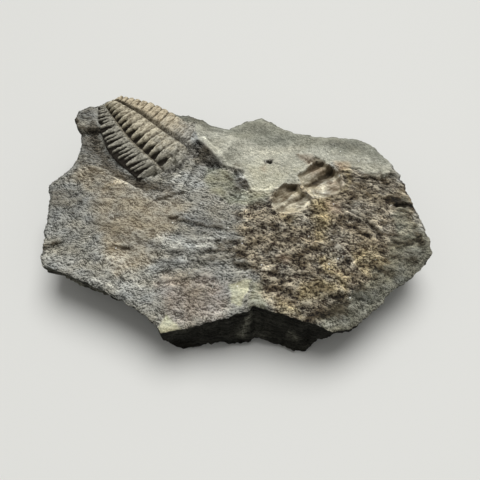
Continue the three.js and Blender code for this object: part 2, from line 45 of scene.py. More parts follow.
# The slab's edge in millimetres, in four runs between its corners, as in the solid: x, y, height of
# the broken side face, how far its foot leans out, and how far in the underside's edge lies.
LEFT_RUN = [
    (-53, -17.5, 4, -0.5, 12), (-54, -14.5, 4.5, -0.5, 10), (-54, -10.5, 5, -0.5, 9),
    (-54, 3.5, 6, -0.5, 8), (-55.5, 9, 6, -0.5, 8), (-51, 12, 7, -0.4, 6), (-48, 15.5, 8, -0.4, 5),
    (-46.5, 20, 9, -0.3, 4), (-47, 25.5, 10, -0.3, 4), (-49.5, 30, 9, -0.8, 6),
]
BACK_RUN = [
    (-49.5, 30, 9, -0.8, 6), (-48, 33, 9, -0.6, 6), (-45, 34.8, 9, -0.5, 6), (-42, 34.8, 9, -0.5, 6),
    (-39.5, 36.3, 10, -0.3, 6), (-37, 37.5, 11, 0, 6), (-33.5, 37.2, 11, 0, 5), (-27.5, 35.8, 11, 0, 5),
    (-22.5, 33.8, 11, 0, 5), (-18, 31.8, 11, 0, 5), (-13.5, 31, 10, -0.4, 5), (-9.5, 29.5, 10, -0.4, 5),
    (-6.5, 27.5, 10, -0.4, 4), (-2.5, 26.5, 10, -0.3, 4), (4.5, 29, 10, -0.4, 5), (9, 30.5, 10, -0.5, 6),
    (13, 28.5, 10, -0.4, 5), (18.5, 25.5, 10, -0.4, 5), (28, 24.5, 9, -0.4, 5), (38.5, 24.5, 9, -0.5, 5),
    (42.5, 22.5, 8, -0.5, 5),
]
RIGHT_RUN = [
    (42.5, 22.5, 8, -0.5, 5), (47, 15.5, 8, -0.5, 6), (50.5, 8, 8, -0.5, 7), (51.5, 2.5, 8, -0.5, 7),
    (52.5, -1, 7, -0.5, 8), (55, -9.5, 6, -0.6, 9), (55.5, -14.5, 5, -0.6, 11),
]
FRONT_RUN = [
    (-53, -17.5, 4, -0.5, 12), (-48, -19.5, 3.6, -0.2, 13), (-39, -23.5, 4, -0.2, 13),
    (-32, -27, 3.2, -0.3, 12), (-24.5, -31.5, 2.2, -0.6, 10), (-20.5, -35, 2.4, -0.4, 5),
    (-19, -37, 4, 0, 2), (-13.5, -36, 12.5, 1.2, -1.2), (-8.5, -35, 13, 1.9, -1), (-3, -34, 13.5, 2.6, 0.5),
    (3.5, -32.5, 14, 3.2, 2), (5.5, -31, 14.4, 4, 2), (10.5, -32.5, 15, 3.2, 1),
    (15, -33.8, 15.5, 3.8, -4.2), (19, -35, 15, 2.6, -3), (23, -36, 9, 0.6, 2), (26.5, -37.2, 4, 0, 8),
    (29.5, -36.3, 3, -0.8, 10), (34, -34, 3, -0.8, 11), (39, -30, 3, -0.8, 11), (42.5, -26, 3, -0.8, 11),
    (48.5, -22, 3.5, -0.8, 11), (53, -18, 4, -0.8, 11), (55.5, -14.5, 5, -0.6, 11),
]

# Heights of the top face: x, y, height above the resting surface.
SPOT_HEIGHTS = [
    (-47.5, 29, 20.4), (-44, 32, 21), (-43.5, 25.5, 19.8), (-43, 18.5, 17.8), (-45.5, 13.5, 16.6),
    (-38.5, 13, 17.6), (-33, 11, 17.7), (-26.5, 6, 17.9), (-38, 31, 20.2), (-33, 30, 20), (-26, 28, 19.8),
    (-33, 21, 18.6), (-25, 16, 18.2), (-18, 18, 19), (-18, 27, 19.6), (-10.5, 26, 19.6), (-53, 8, 14.8),
    (-51, -1, 14.6), (-52.5, -11.5, 13.5), (-52, -16.5, 13), (-44, 0, 16.4), (-44, -9, 15.4),
    (-44, -17, 14), (-37, -21.5, 13.6), (-37, 5, 18), (-27, -1, 18.8), (-35, -5.5, 17.2),
    (-33.5, -14, 15.6), (-29, -25.5, 13.6), (-23, -9.5, 18), (-22.5, -19, 16), (-22, -31, 13.2),
    (-16, -1, 18.4), (-14, -10.5, 17.8), (-12, -23, 15.8), (-12, -33.5, 12), (-15.5, 11, 17.8),
    (-8, 12, 17.6), (-6, 2.5, 18.2), (-3, -10, 18.2), (-1, -21.5, 17), (0, -31, 15.2), (8, -28.5, 16.6),
    (5, 4, 18.6), (8, -4, 18.6), (8, -16, 18.2), (-5, 21, 19.6), (5, 21.5, 19.6), (9, 28, 20),
    (15.5, 22.5, 19), (12, 10.5, 19.2), (2, 12, 19), (20, 18.5, 18.8), (29.5, 21, 18.3), (40.5, 19.5, 17.4),
    (35, 14, 18), (46, 12, 17), (33, 3, 18.8), (40.5, 4.5, 18), (49, 4, 16.4), (27, -6.5, 18.8),
    (38, -6.5, 18), (49.5, -5.5, 16.2), (18.5, -12.5, 18.8), (29, -16, 18.3), (41, -15.5, 17.2),
    (52, -15, 15.2), (18, -23, 17.8), (28.5, -25.5, 16.8), (38, -25, 15.8), (46.5, -20, 15.2),
    (14, -30.5, 16.6), (23, -33, 15.4), (31, -32, 14.6),
]
SPOT_REACH = 7
# Wide lumps on it: height, size along x and y, and where their pattern starts.
LUMPS = [(0.45, 9, 7, 0, 0), (0.35, 4.6, 3.6, 7, 3)]

# Broken steps in the top face: a line, how much higher its left side stands, and how wide the break
# is and how far on both sides it levels out. The first ones are in the solid too.
STEPS = [
    ([(-39.5, 25.3), (-43.8, 25.7), (-48.5, 25.8)], -1.8, 0.6, 9),
    ([(-12.9, 18), (-11.4, 19.7), (-9.9, 19), (-8.8, 17.3), (-7, 15.4), (-5.2, 13.9)], 3.8, 3.4, 9),
    ([(-4.6, 13.6), (0.2, 11.7), (2, 8.1), (5.2, 4)], 1, 0.8, 4),
    ([(-38.8, 10.2), (-35, 8.9), (-31.4, 7.4), (-27, 4.4), (-23.2, 1.1)], -1.5, 1, 5),
    ([(-23.2, 1.1), (-18.7, 2.2), (-14, 4.4)], 0.9, 0.5, 3),
    ([(-18.3, -4.6), (-16, -4.9), (-12, -6.4), (-7.8, -7.8), (-3, -8.4)], 0.8, 0.4, 3),
    ([(-54.5, -12.2), (-51.2, -11.1), (-48.6, -10.4)], 1, 0.4, 3),
    ([(38.8, 9), (42.8, 9.2), (46.6, 10.4), (51, 9.5)], 1.1, 0.6, 4),
    ([(33.6, -3.4), (37.4, -5.4), (40, -8.2), (42, -11.7)], 0.9, 0.9, 3),
    ([(24, -28.6), (29.9, -27.2), (34, -28.4)], 1.2, 0.8, 4),
    ([(-33.5, -12.6), (-30.5, -13.6), (-27.3, -14)], 0.7, 0.3, 2),
    ([(-13, -12.6), (-6, -12.3), (2, -12.4), (6, -13)], 0.5, 0.4, 2),
    ([(-17.2, -14.9), (-10.1, -14.7), (-3.5, -15.8), (3, -15.2)], 0.6, 0.4, 2),
    ([(-22, -17.5), (-14, -18.3), (-6, -18), (0, -18.8)], 0.5, 0.4, 2),
    ([(-20, -23.5), (-12, -22.6), (-4, -23.2)], 0.5, 0.4, 2),
    ([(30, 12.2), (34.5, 12.8), (38.5, 12)], 0.6, 0.4, 2),
    ([(6, -21.5), (11, -22.4), (17, -21.8), (22, -23)], 0.5, 0.4, 2),
]

# Pits: centre, half length along x and y, depth.
PITS = [
    (49.4, 0.3, 3.2, 0.9, 1.5), (2.8, -20.2, 2.6, 1.4, 1), (-49.5, 26.5, 1.8, 3, 3),
    (-29.6, -13.7, 2.6, 0.6, 0.6), (10.6, 13.8, 1, 0.8, 1), (1.6, 9.6, 1.8, 1.6, 0.8),
    (44.5, 8.8, 2.4, 0.5, 0.5), (37, 7.5, 2.4, 0.6, 0.4),
]

PIT_ROUNDNESS = 1.2
# The whole rim is worn. Its front right part is bevelled too, and the bevel sets in between two
# places along x and two along y.
EDGE_WEAR = 0.5
EDGE_WEAR_WIDTH = 1.2
BEVEL_DROP = 2.2
BEVEL_WIDTH = 6
BEVEL_X = (21, 27)
BEVEL_Y = (-18, -10)

# The trilobite's body, along its axis from tail to head, and across it. Pairs are at tail and head.
TAIL = np.array([-37, 32.5])
AXIS = np.array([0.733, -0.68])
LEFTWARD = np.array([-0.68, -0.733])
BODY_LENGTH = 29
CREST = (24.8, 23.2)
# Its rings: how many, how far its round tail and its broken end go on past them, in rings, the length
# of the first one, how much longer each further one is, and how many of them grow.
RINGS = 13
ROUND_TAIL = 1.6
BROKEN_END = 0.4
FIRST_RING = 1.15
RING_GROWTH = 0.2
GROWING_RINGS = 8
# Half the width of the axis on its left and right side, at places along it.
AXIS_LEFT = [(-2, 0.8), (4, 2.3), (9, 3.3), (13, 4.1), (18, 4.5), (29, 4.6)]
AXIS_RIGHT = [(-2, 1.6), (1, 2.3), (5, 3.1), (9, 3.8), (17, 4.2), (21, 4.5), (29, 5.6)]
LEFT_FLANK = {
    "furrow": (22, 19.8), "ridge": (23.2, 21.2), "tip": (21.8, 19.4), "width": 7, "back_sweep": (3.2, 3.2),
    "bow": 1.9, "full_at": 22, "end_ring": 12.7,
}
RIGHT_FLANK = {
    "furrow": (22.7, 20.6), "ridge": (23.7, 21.7), "tip": (23, 20.5), "width": 7, "back_sweep": (1.2, 1.8),
    "bow": 0.8, "full_at": 24, "end_ring": 13,
}
# How far out on the flanks their ridge is.
RIDGE_AT = 0.22
# How much of a ring's length its main spike on the left takes, where a short one takes the rest, and
# the share of the rings that have the main spike alone.
MAIN_SPIKE = 0.56
UNSPLIT = 0.55
# How much lower the tail lies, from which ring on the body is worn, and how high it still is in front.
TAIL_DROP = 1.8
WORN_FROM_RING = 11
HEIGHT_IN_FRONT = 18.4
# The rock under the body is lower, so that the gaps between its ribs stay open.
BED = [
    (-41.8, 32), (-41.3, 28.5), (-40.1, 24.6), (-37.7, 20.5), (-34.5, 16.2), (-30.8, 12.2), (-27.9, 9.8),
    (-25.4, 9.2), (-21, 11), (-15, 17), (-15, 21), (-18, 28.5), (-23, 31.5), (-28, 33), (-33, 34.3),
    (-37, 34.5),
]
BED_DEPTH = 1.6
BED_EDGE = 1.4

# The moulds: a middle, the outline of the rim, and profiles across the width at its lower left and
# its upper right end. A profile has places across, the depth of the floor and how much lighter
# (below 0 darker) it is there: painted shade on the walls and grooves that face the front, and
# painted light on the ridges of the floor.
MOULD_TURN = 0.62
MOULDS = [
    ((16.2, 1.2), [
        (10.8, 0.2), (12.4, 4), (14.7, 6.3), (18.5, 5.8), (19.8, 3.5), (21.8, 1.8), (22.2, -0.6),
        (20.4, -2.6), (17.5, -4.2), (15.5, -4.1), (12, -3.3), (11, -1.3),
    ], [
        (-4, 0.3, -1.1), (-2.4, 0.8, -1), (-1.6, 1, -0.4), (0.2, 1.1, 0.2), (0.7, 1.5, -0.8),
        (1.1, 1.5, -0.7), (1.6, 1.1, -0.1), (3, 1, 0), (5.4, 0.2, 0.1),
    ], [
        (-5.2, 0, -1.3), (-4.4, 1.7, -1.6), (-2.6, 2.7, -1.6), (-1.2, 2.2, -1.3), (-0.6, 1.6, -0.3),
        (0, 1.7, -0.2), (0.5, 2.1, -0.8), (1.2, 2, -0.9), (1.8, 1.4, -0.2), (3.1, 1, -0.1), (4, 0.8, 0),
        (5.2, 0.3, 0.1),
    ]),
    ((25.4, 7.4), [
        (18.3, 8.7), (21.2, 10.9), (23.2, 13.4), (24.8, 14.8), (26.7, 14.6), (28.6, 13.2), (30.3, 11.2),
        (31.7, 8.6), (31.8, 6.1), (30.6, 3.6), (28.2, 1.9), (25.3, 1), (22.6, 0.8), (21.2, 2.5),
        (19.9, 4.8),
    ], [
        (-6, 0, -1.8), (-5.3, 0.7, -0.4), (-4.6, 0.9, 0), (-2.2, 1.2, 0.1), (-1.7, 1.7, -0.8),
        (-1.2, 1.7, -0.7), (-0.7, 1.4, 0), (2, 1.6, 0.2), (4.5, 0.9, 0.15), (6.3, 0, 0.4),
    ], [
        (-6.6, 0, -2.8), (-5.6, 2.1, -3), (-4.6, 2, -2.4), (-4, 1.2, -0.9), (-3.1, 1.3, -0.9),
        (-2.5, 2.4, -2.2), (-1.3, 3.6, -3.6), (-0.3, 2.9, -2.4), (0.5, 1.9, -0.3), (1.6, 1.9, 0.1),
        (2.2, 2, 0), (3, 1.7, -0.7), (4.4, 1.4, -0.6), (5.4, 0.8, -0.2), (6.2, 0.2, 0.4),
    ]),
]

# Kinds of rock on the top face, and painted shade: how soft their edges are, how full the colour is
# there, the dark and light colours of the grain, and outlines in millimetres. Edges up to CLEAR_EDGE
# wander less.
CLEAR_EDGE = 2
CLEAR_WANDER = 0.4
CLOUDINESS = 0.35
Zone = namedtuple("Zone", "edge strength dark light outlines")
ZONES = {
    "warm": Zone(5, 0.8, (0.16, 0.125, 0.085), (0.56, 0.5, 0.385), [
        [(-46, 14), (-40, 12.5), (-33, 9), (-27, 5), (-22, 2), (-15, 3), (-14, -3), (-18, -8), (-21, -12),
         (-24, -18), (-31, -20), (-35, -16), (-38, -6), (-40, 0), (-41, 6), (-48, 10)],
    ]),
    "purple": Zone(5, 0.7, (0.14, 0.108, 0.085), (0.7, 0.61, 0.52), [
        [(-20, -23), (-8, -22), (-2, -24), (-1, -28), (-3, -33), (-12, -35), (-18, -32)],
    ]),
    "smooth": Zone(0.8, 1, (0.27, 0.266, 0.22), (0.68, 0.668, 0.57), [
        [(-12, 32), (-3, 29), (4, 32), (9, 33), (18, 28), (42, 28), (48, 16), (46, 9), (40, 10.5),
         (33, 13.5), (29.5, 14.5), (25, 12), (20, 6), (14, 3), (11, 3), (5, 4.5), (3.4, 8.5), (1.6, 11.6),
         (-3.4, 13.3), (-5.4, 14.8), (-6.5, 16.8), (-8.2, 19.6), (-10.2, 20.9), (-11, 24)],
    ]),
    "band": Zone(2.5, 0.75, (0.14, 0.143, 0.115), (0.36, 0.362, 0.3), [
        [(-22, 34), (-3, 29), (9, 33.5), (18, 28), (42, 27), (48, 15), (44, 15.5), (39, 17), (33, 18.8),
         (28, 20.6), (22, 20), (16, 19.5), (8, 20), (2, 23), (-4, 25), (-12, 28), (-20, 28)],
    ]),
    "cream": Zone(0.8, 1, (0.4, 0.39, 0.27), (0.8, 0.785, 0.6), [
        [(-0.9, -24.8), (5.1, -23.4), (4.2, -26.8), (2, -31.2), (0, -29.8)],
        [(-20, -37.5), (-17.6, -31.8), (-15, -34.5), (-13, -37)],
    ]),
    "pale": Zone(4, 0.75, (0.34, 0.325, 0.235), (0.82, 0.79, 0.63), [
        [(4, 13), (8, 14), (13, 12), (18, 10.5), (17, 7), (11, 3), (6, 4), (4, 9)],
    ]),
    "green": Zone(2, 0.7, (0.15, 0.15, 0.1), (0.46, 0.46, 0.35), [
        [(-8, 13), (-3, 12.5), (0, 10), (1, 4), (6, 3.6), (11, 3), (9, 0), (6, -1.5), (-1, 0), (-6, 4),
         (-9, 8)], [(5.4, -24), (7.6, -24), (8.6, -28), (9, -33), (4, -31)],
    ]),
    "crust": Zone(2.5, 1, (0.024, 0.014, 0.009), (0.49, 0.43, 0.322), [
        [(5, -0.8), (9, 0), (12, 3.2), (15, 4), (21, 7), (26, 10), (31, 13), (33, 12), (37.5, 11.8),
         (41, 11.2), (45, 10), (52, 8), (53, 3), (53.5, -2), (52, -10), (44, -19), (36, -26), (30, -30),
         (26, -33), (20, -36), (11, -35), (8, -29), (7, -24.5), (5.5, -20.5), (2, -18.5), (-1, -15.5),
         (2.5, -12), (-0.5, -9), (3, -6), (0.5, -3.5), (5, -1)],
    ]),
    # Painted shade: the dark scarp that faces the front, and the shade in two pits.
    "dark": Zone(0.9, 0.95, (0.022, 0.02, 0.015), (0.31, 0.295, 0.26), [
        [(-12.9, 19.5), (-10.4, 21), (-8, 19.6), (-6.2, 16.7), (-5, 14.7), (-2, 13), (-5.6, 13.6),
         (-9, 13.2), (-12.6, 14.9), (-14, 17.4)], [(9.3, 14.6), (11.8, 14.6), (11.8, 13), (9.3, 13)],
        [(45.4, 2.6), (49, 2), (52.5, 0.6), (52.5, -1), (49, -0.4), (46.5, 1.2)],
    ]),
    "rim": Zone(2.5, 0.8, (0.07, 0.068, 0.05), (0.34, 0.33, 0.255), [
        [(51.5, -3), (57, -12), (57, -15), (48, -24), (40, -32), (30, -38), (22, -38), (22, -33),
         (28, -29.5), (34.5, -25), (41.5, -18), (45, -10), (45, -2), (50, 2)],
    ]),
    "ochre": Zone(3, 0.6, (0.055, 0.036, 0.012), (0.58, 0.472, 0.255), [
        [(22.5, 0.5), (27.5, 1.5), (27, -12.5), (23.5, -13.5), (22.5, -7)], [(13, -5), (18, -5), (17, -8)],
        [(33, -15.5), (39, -14), (42, -18), (37, -22), (33.5, -21)],
        [(18, -26), (23, -23), (31, -27), (18, -30)],
        [(9, -29.5), (14, -30.5), (18.5, -31.5), (18, -33.8), (12, -32.8)],
        [(30, 14.5), (34.5, 14), (34, 11), (33.5, 4), (32.2, 3), (32.4, 9)],
        [(23.5, -17), (26, -17), (31.5, -27), (28.5, -27.5)],
    ]),
    "mould": Zone(1, 1, (0.42, 0.37, 0.27), (0.7, 0.65, 0.53), []),
    "rust": Zone(1.8, 0.5, (0.33, 0.24, 0.17), (0.68, 0.55, 0.42), [
        [(27.5, 8), (30.5, 9.5), (31.6, 6), (29.4, 2.8), (27.5, 3.5), (28.6, 6)],
        [(19.3, 16.8), (23.8, 16.8), (25.5, 14.6), (22.4, 12.6), (20, 15)],
        [(29.5, 14.8), (35, 14.5), (34, 12), (30.5, 11.5)], [(7.6, 12), (9.6, 12.6), (9.2, 10.2)],
        [(26, 0), (31, -0.5), (31, -4), (27, -4)], [(11.5, -17), (15, -17.5), (14, -20)],
        [(22, 12), (26, 14), (27, 12), (23, 9)],
    ]),
}

# Stains and painted shadows on the top face: half their width, how much lighter they are (below 0
# darker), and a line. Some dark ones are painted shadow: below the overhang on the right, on the
# left face of the raised block at the back left, and along the spike tips of the trilobite.
STAINS_AND_SHADOWS = [
    (2.4, -0.6, (-49, 26.5), (-48, 31), (-45, 34)), (3, -0.35, (-44, 31), (-41, 28)),
    (2.2, -0.35, (-45, 22.5), (-42, 19), (-38.6, 15), (-34.4, 11)),
    (3.4, -0.6, (-45, 24), (-44, 16), (-40, 12.5)), (0.5, 0.9, (-34.5, 7.3), (-31.5, 6.2)),
    (1.1, -0.5, (-37, 10), (-30, 8.2), (-24, 3.8)), (3.5, -0.5, (-51, 5), (-46, 1)),
    (1.6, 0.35, (17, -4.5), (22, -5.5)), (3, 0.1, (-51, -5), (-43, -9)), (2, -0.15, (-41, 2), (-39, -6)),
    (3, -0.35, (-54, 6), (-53.5, -3)), (2, 0.15, (-52, -15), (-47, -16.4), (-40, -19)),
    (2.5, 0.25, (-28, -15), (-22, -19)), (1.3, 0.2, (-34, -19), (-27, -21)),
    (0.2, 1.2, (-12, 8), (-11.8, 8)), (3, -0.3, (-9, -3), (1, -5)), (3, 0.15, (-26, -24), (-20, -28)),
    (1.2, 0.25, (-12.5, 22.5), (-11, 19.5)), (1.6, -0.7, (-20, 29.5), (-13, 30.5), (-8, 27.5)),
    (2, -0.25, (-13.5, 25), (-9, 22.4), (-6, 19.6)), (0.7, -0.6, (-9, 25.5), (-4, 25)),
    (0.9, -0.35, (28, 21), (40, 20.5)), (1.6, 0.2, (27, 18.5), (40, 17)), (1.2, 0.2, (6, 17.5), (14, 17)),
    (1.6, -0.3, (34, 8), (38, 3)), (1, -2.2, (45.5, 2.4), (49, 1.4), (52, 0)),
    (1, 0.5, (23.5, -34.6), (27, -34.4)), (1, -0.8, (49.5, -17), (51, -17.6)),
    (1.4, 0.35, (30.6, -9.8), (32.6, -11)), (1.5, 0.4, (27, -16.4), (28.6, -17.6)),
    (1.2, 0.4, (23, -36), (28, -35)), (0.6, 0.45, (20.8, -1.4), (22.2, 0.8)),
    (0.25, 0.6, (27.9, 7.4), (24.9, 3.3)), (0.7, 0.5, (24.4, 2.4), (25.6, 2.6)),
    (0.8, -0.3, (22, -4.6), (23.6, -3.2)), (1.2, 0.2, (26.5, -15.3), (28.5, -18)),
    (1.6, 0.3, (29, -29), (36, -31)), (2.6, 0.35, (41, -2), (49, -6)),
    (1.3, 0.45, (-7.5, -33.4), (-2, -32.6)), (1.2, -0.4, (38, -20), (45, -16)),
    (1.2, -0.8, (51.6, -8), (53, -12.5)), (1.6, -0.4, (44, -15), (50, -16.5)),
    (1.8, 0.15, (5, -25), (8.5, -29)), (0.8, -0.9, (5, -31), (9, -32.3)), (0.6, 0.5, (1, 8.7), (3.4, 8.2)),
    (1.6, 0.15, (5, 11), (8, 12.4)), (5, 0.25, (-32, -17), (-24, -24)), (4, 0.12, (6, 17), (16, 15)),
    (3, -0.2, (33, 17), (44, 15)), (1, -1.1, (-50, 29), (-49, 26)), (2, 0.3, (-43, -11), (-38, -13.5)),
    (1.2, -0.35, (-26, 6.6), (-22.5, 5.4)), (1.4, -0.5, (24, -31.5), (28, -31)),
    (1.4, -0.4, (45, -16.5), (48, -18)), (1.2, -0.4, (34.5, -17.4), (38, -18)),
    (1.2, 0.4, (5.5, -29.4), (8, -30.2)), (1.2, -0.35, (30, 22.5), (40, 22.5)),
    (3.4, -0.35, (30, 2), (37, 4), (45, 2)),
]

# Cracks, ledges and scars: as stains, with how much they stand out before the line. Their dark lines
# are partly painted shade in cracks and below ledges.
SCARS = [
    (0.3, -1.5, -0.4, (-47.2, 26.3), (-44.3, 26.2), (-41.4, 25.4)),
    (0.9, -1.6, -0.3, (-49.6, 31), (-48.2, 28.2)),
    (1.4, -0.8, -0.3, (-43.5, 27), (-41.4, 20.5), (-37.6, 14), (-33, 9.8), (-27, 6.6)),
    (1.2, 0.35, 0.2, (-46, 13), (-39, 11.2), (-33, 7.4), (-29, 5.2)),
    (1.7, -0.9, -0.2, (-27.5, 7), (-22.5, 5.6), (-18.5, 4.9)),
    (0.55, -0.7, -0.2, (-22, 2), (-20, 1.4), (-15, 4)), (0.4, -1.2, -0.3, (-54, -12), (-50.5, -10.6)),
    (0.4, -1.3, -0.2, (-33, -12.9), (-30.4, -13.3), (-28, -13.9)),
    (1.4, 0.35, 0.1, (-34, -16.5), (-30, -16.5)), (0.6, 0.6, 0.2, (-38, -22.6), (-35.5, -23.4)),
    (0.6, 0.7, 0.2, (-33.5, -24.4), (-31, -26)), (0.3, 1.4, 0.1, (-10.9, 23), (-10.5, 22.8)),
    (0.25, 1.4, 0.1, (-8.8, 21.9), (-8.5, 21.7)), (0.3, 1.3, 0.1, (-15.7, 10.3), (-15.3, 9.9)),
    (0.45, -0.8, -0.2, (-17.8, -5), (-15.5, -4.2)), (1.7, -0.55, -0.2, (-16, -5.3), (-9.5, -6.8), (-4, -8)),
    (2.2, 0.6, 0.2, (-20, -12.4), (-14.5, -13.8), (-7, -13.6)),
    (1.3, -0.3, -0.1, (-14.7, -9.4), (-7.4, -10.2)), (0.8, -0.7, -0.25, (-9, -15.6), (-1, -15)),
    (1, -0.9, -0.3, (-4, -13.4), (0.5, -13.6)), (0.6, -0.6, -0.2, (-12, -17.8), (0, -17.4)),
    (0.5, -0.45, -0.15, (-15, -19.6), (-4, -19.6)), (1.1, 0.3, 0.2, (-18, 12), (-17.5, 7)),
    (0.35, 0.4, 0.1, (-10.3, 22.8), (-5, 18), (-2, 14.2)), (0.5, 0.6, 0.2, (2.5, 3.5), (12, 4.4)),
    (0.9, -0.1, 0.3, (20, 16.6), (23.6, 16.4)), (0.7, -1.2, -0.3, (22.4, 14.2), (25, 15.4), (27, 14.6)),
    (0.5, 0.6, 0.2, (30, 11.6), (35, 11.4)), (0.45, -1.1, -0.3, (37.5, 8), (41, 7.4), (46, 8)),
    (0.4, -0.7, -0.2, (34.5, 9.6), (38, 8.6)), (0.6, -0.6, -0.2, (38, 5), (46, 4.6)),
    (2, -0.9, -0.2, (16.5, -18.2), (18.5, -19.2)), (1.5, -1.1, -0.2, (8.6, -25.8), (9.8, -26.6)),
    (1.2, -1, -0.2, (12.6, -27.2), (16.2, -28.4)), (1.2, -1, -0.2, (12, -22.6), (13, -23.4)),
    (1.4, -1, -0.2, (10, -17.6), (11, -18.2)), (1.1, -0.8, -0.2, (19.5, -14.6), (23.4, -15.9)),
    (1.2, -0.8, -0.1, (10.5, -8), (12.5, -8.8)), (1, -0.9, -0.1, (7.6, -0.6), (9.8, -1.4)),
    (0.7, -1.1, -0.2, (22, -25.2), (23, -25.5)), (0.7, -1, -0.2, (26, -25.4), (27, -25.9)),
    (0.6, -1, -0.2, (22.2, -6.6), (23, -7)), (1, -0.8, -0.2, (28, -9), (31, -7.2), (33, -8.4)),
    (1, -0.9, -0.2, (33, -4.6), (36, -6), (39, -8.2), (42, -9.6)),
    (0.7, -1.6, -0.3, (36.6, -10.1), (37.2, -10.5)), (0.7, -1, -0.2, (31, -18), (31.8, -18.4)),
    (1.4, -0.7, -0.1, (31.6, -24.6), (34, -26)), (1.3, -0.7, -0.1, (39, -19.6), (43, -21.4)),
    (1.1, -1.1, -0.2, (28, -28.6), (30, -29.6)), (1.9, -1.2, -0.2, (18, -32), (23, -33), (29, -31.5)),
    (1, -1, -0.1, (19.6, -34.2), (21.2, -35)), (0.8, -1.4, -0.2, (51, -10.8), (52.4, -11.2)),
    (0.9, -0.6, -0.2, (41, -0.4), (43.5, -1)), (0.8, 0.5, 0.1, (35.6, -7.8), (37, -8.2)),
    (0.6, 0.7, 0.3, (40, -6.2), (42.6, -9.8)), (1.2, 0.45, 0.1, (39.6, -22.6), (42.6, -23.4)),
    (0.6, 0.6, 0.1, (29, -27.4), (30.6, -27.8)), (0.9, 0.4, 0.1, (24.2, -18), (25.4, -21.6)),
    (1.2, 0.55, 0.1, (9.6, -30), (12.8, -31.2), (16.4, -32), (19, -33)),
    (0.35, 0.35, 0.1, (10.9, 0.1), (11.3, -2), (12.5, -3.4), (15.5, -4.2), (17.5, -4.3)),
    (0.3, 0.4, 0.1, (18.6, 7.6), (19.8, 4.8), (21.3, 2.4)),
    (0.25, 0.6, 0.1, (31.8, 8.6), (31.8, 5.6), (30.4, 3.4)),
    (0.4, -1.3, -0.2, (30.6, 11.6), (32.6, 10.4), (34, 11)),
    (0.3, -0.6, 0.2, (19.2, 16.7), (21, 15.4), (21.6, 13.6)), (1.3, 0.5, 0.1, (23.6, -1.2), (25.4, -5)),
    (0.7, 0.6, 0.2, (26, -20.5), (34, -26.5)), (0.35, 0.9, 0.3, (32, -19.6), (36, -16.6)),
    (0.6, 0.8, 0.4, (32.3, -3.4), (36, -5.6), (38.3, -9), (39.5, -12)),
    (0.7, -1, -0.4, (34, -8.4), (37.5, -11.6)), (0.5, -0.8, -0.2, (33, -5.6), (37, -8)),
    (0.9, -1.1, -0.4, (0.5, -18.6), (3.4, -20)), (1.3, 0.6, 0.15, (3.4, 2), (3.4, -6)),
    (1.5, 0.7, 0.1, (5.5, -19.4), (8.5, -20.8)), (1.4, -0.6, -0.2, (0, -12), (3, -16)),
    (0.5, -1, 0.3, (0.6, 13), (1.3, 12.6)), (0.6, -0.5, 0.3, (2.4, 12.4), (3.4, 11)),
    (1.6, -0.7, 0.5, (1.2, 7), (2.6, 5)), (0.9, -0.7, 0.4, (3.2, 6.6), (4.6, 4.6)),
    (0.9, -0.7, 0.3, (-1.6, 9.6), (-0.6, 8.4)), (2.4, 0.2, 0.2, (-15, 9), (-9, 6)),
    (0.8, -0.9, -0.2, (40, 9.4), (43.5, 10.4)), (1.2, 0.4, 0.1, (-14, -17.2), (-8, -17.6)),
]

# Lighter facets on the broken side faces: the middle, the reach and how much lighter they are.
SIDE_MARKS = [
    ((4.4, -31.8, 14.4), 1.2, 2.2), ((4.2, -32.4, 12.6), 1.3, 2.1), ((3.9, -33, 10.8), 1.4, 2),
    ((3.6, -33.7, 9.2), 1.5, 1.8), ((3.2, -34.4, 7.6), 1.6, 1.7), ((2.7, -35, 6), 1.7, 1.6),
    ((2.2, -35.5, 4.5), 1.8, 1.5), ((7.5, -34.5, 4), 2, 1), ((15.9, -35.4, 7), 1.6, 2.4),
    ((17.5, -36.3, 5.8), 1.5, 2), ((20.5, -35, 9), 2.6, -0.9), ((10, -32.5, 13), 1.8, -0.7),
    ((-14, -36, 4), 3, -0.6), ((-6, -35, 8), 2.5, 0.3),
]

# Swirls that move places about, so that what is drawn with straight lines gets natural edges: their
# size, how far they reach along x and y, and a seed for each.
BORDER_SWIRLS = [(7, 2, 1.6, 11, 13), (2.2, 0.9, 0.8, 12, 14), (0.8, 0.5, 0.4, 15, 16)]
MARK_SWIRLS = [(1.8, 0.6, 0.6, 18, 20), (0.7, 0.3, 0.3, 19, 23)]
STEP_SWIRLS = [(1.6, 0.5, 0.5, 21, 22)]
MOULD_SWIRLS = [(1.2, 0.3, 0.3, 61, 62)]


def smooth(value, low, high):
    """0 below low, 1 above high and an even rise between them."""
    share = np.clip((value - low) / (high - low), 0, 1)
    return share * share * (3 - 2 * share)


def blend(low, high, share):
    return low + (high - low) * share


# Numbers that scatter the lumps, the same ones as in the solid.
LUMP_SCATTER = (127.1, 311.7, 43758.5453)


def lumps(x, y):
    """Smooth lumps about one unit across."""
    def corner(i, j):
        mixed = np.sin(i * LUMP_SCATTER[0] + j * LUMP_SCATTER[1]) * LUMP_SCATTER[2]
        return (mixed - np.floor(mixed)) * 2 - 1
    i = np.floor(x)
    j = np.floor(y)
    u = smooth(x - i, 0, 1)
    v = smooth(y - j, 0, 1)
    near = blend(corner(i, j), corner(i + 1, j), u)
    far = blend(corner(i, j + 1), corner(i + 1, j + 1), u)
    return blend(near, far, v)


# Large odd numbers and a shift that scatter the bits of a whole number, how many of the bits are
# used, what brings noise to about -1 to 1, and how much finer each further layer of noise is.
SEED_STEP = 374761393
SEED_START = 668265263
SCATTER = np.uint64(0x9E3779B97F4A7C15)
SCATTER_SHIFT = np.uint64(29)
USED_BITS = 24
NOISE_GAIN = 1.7
FINER = 2.03


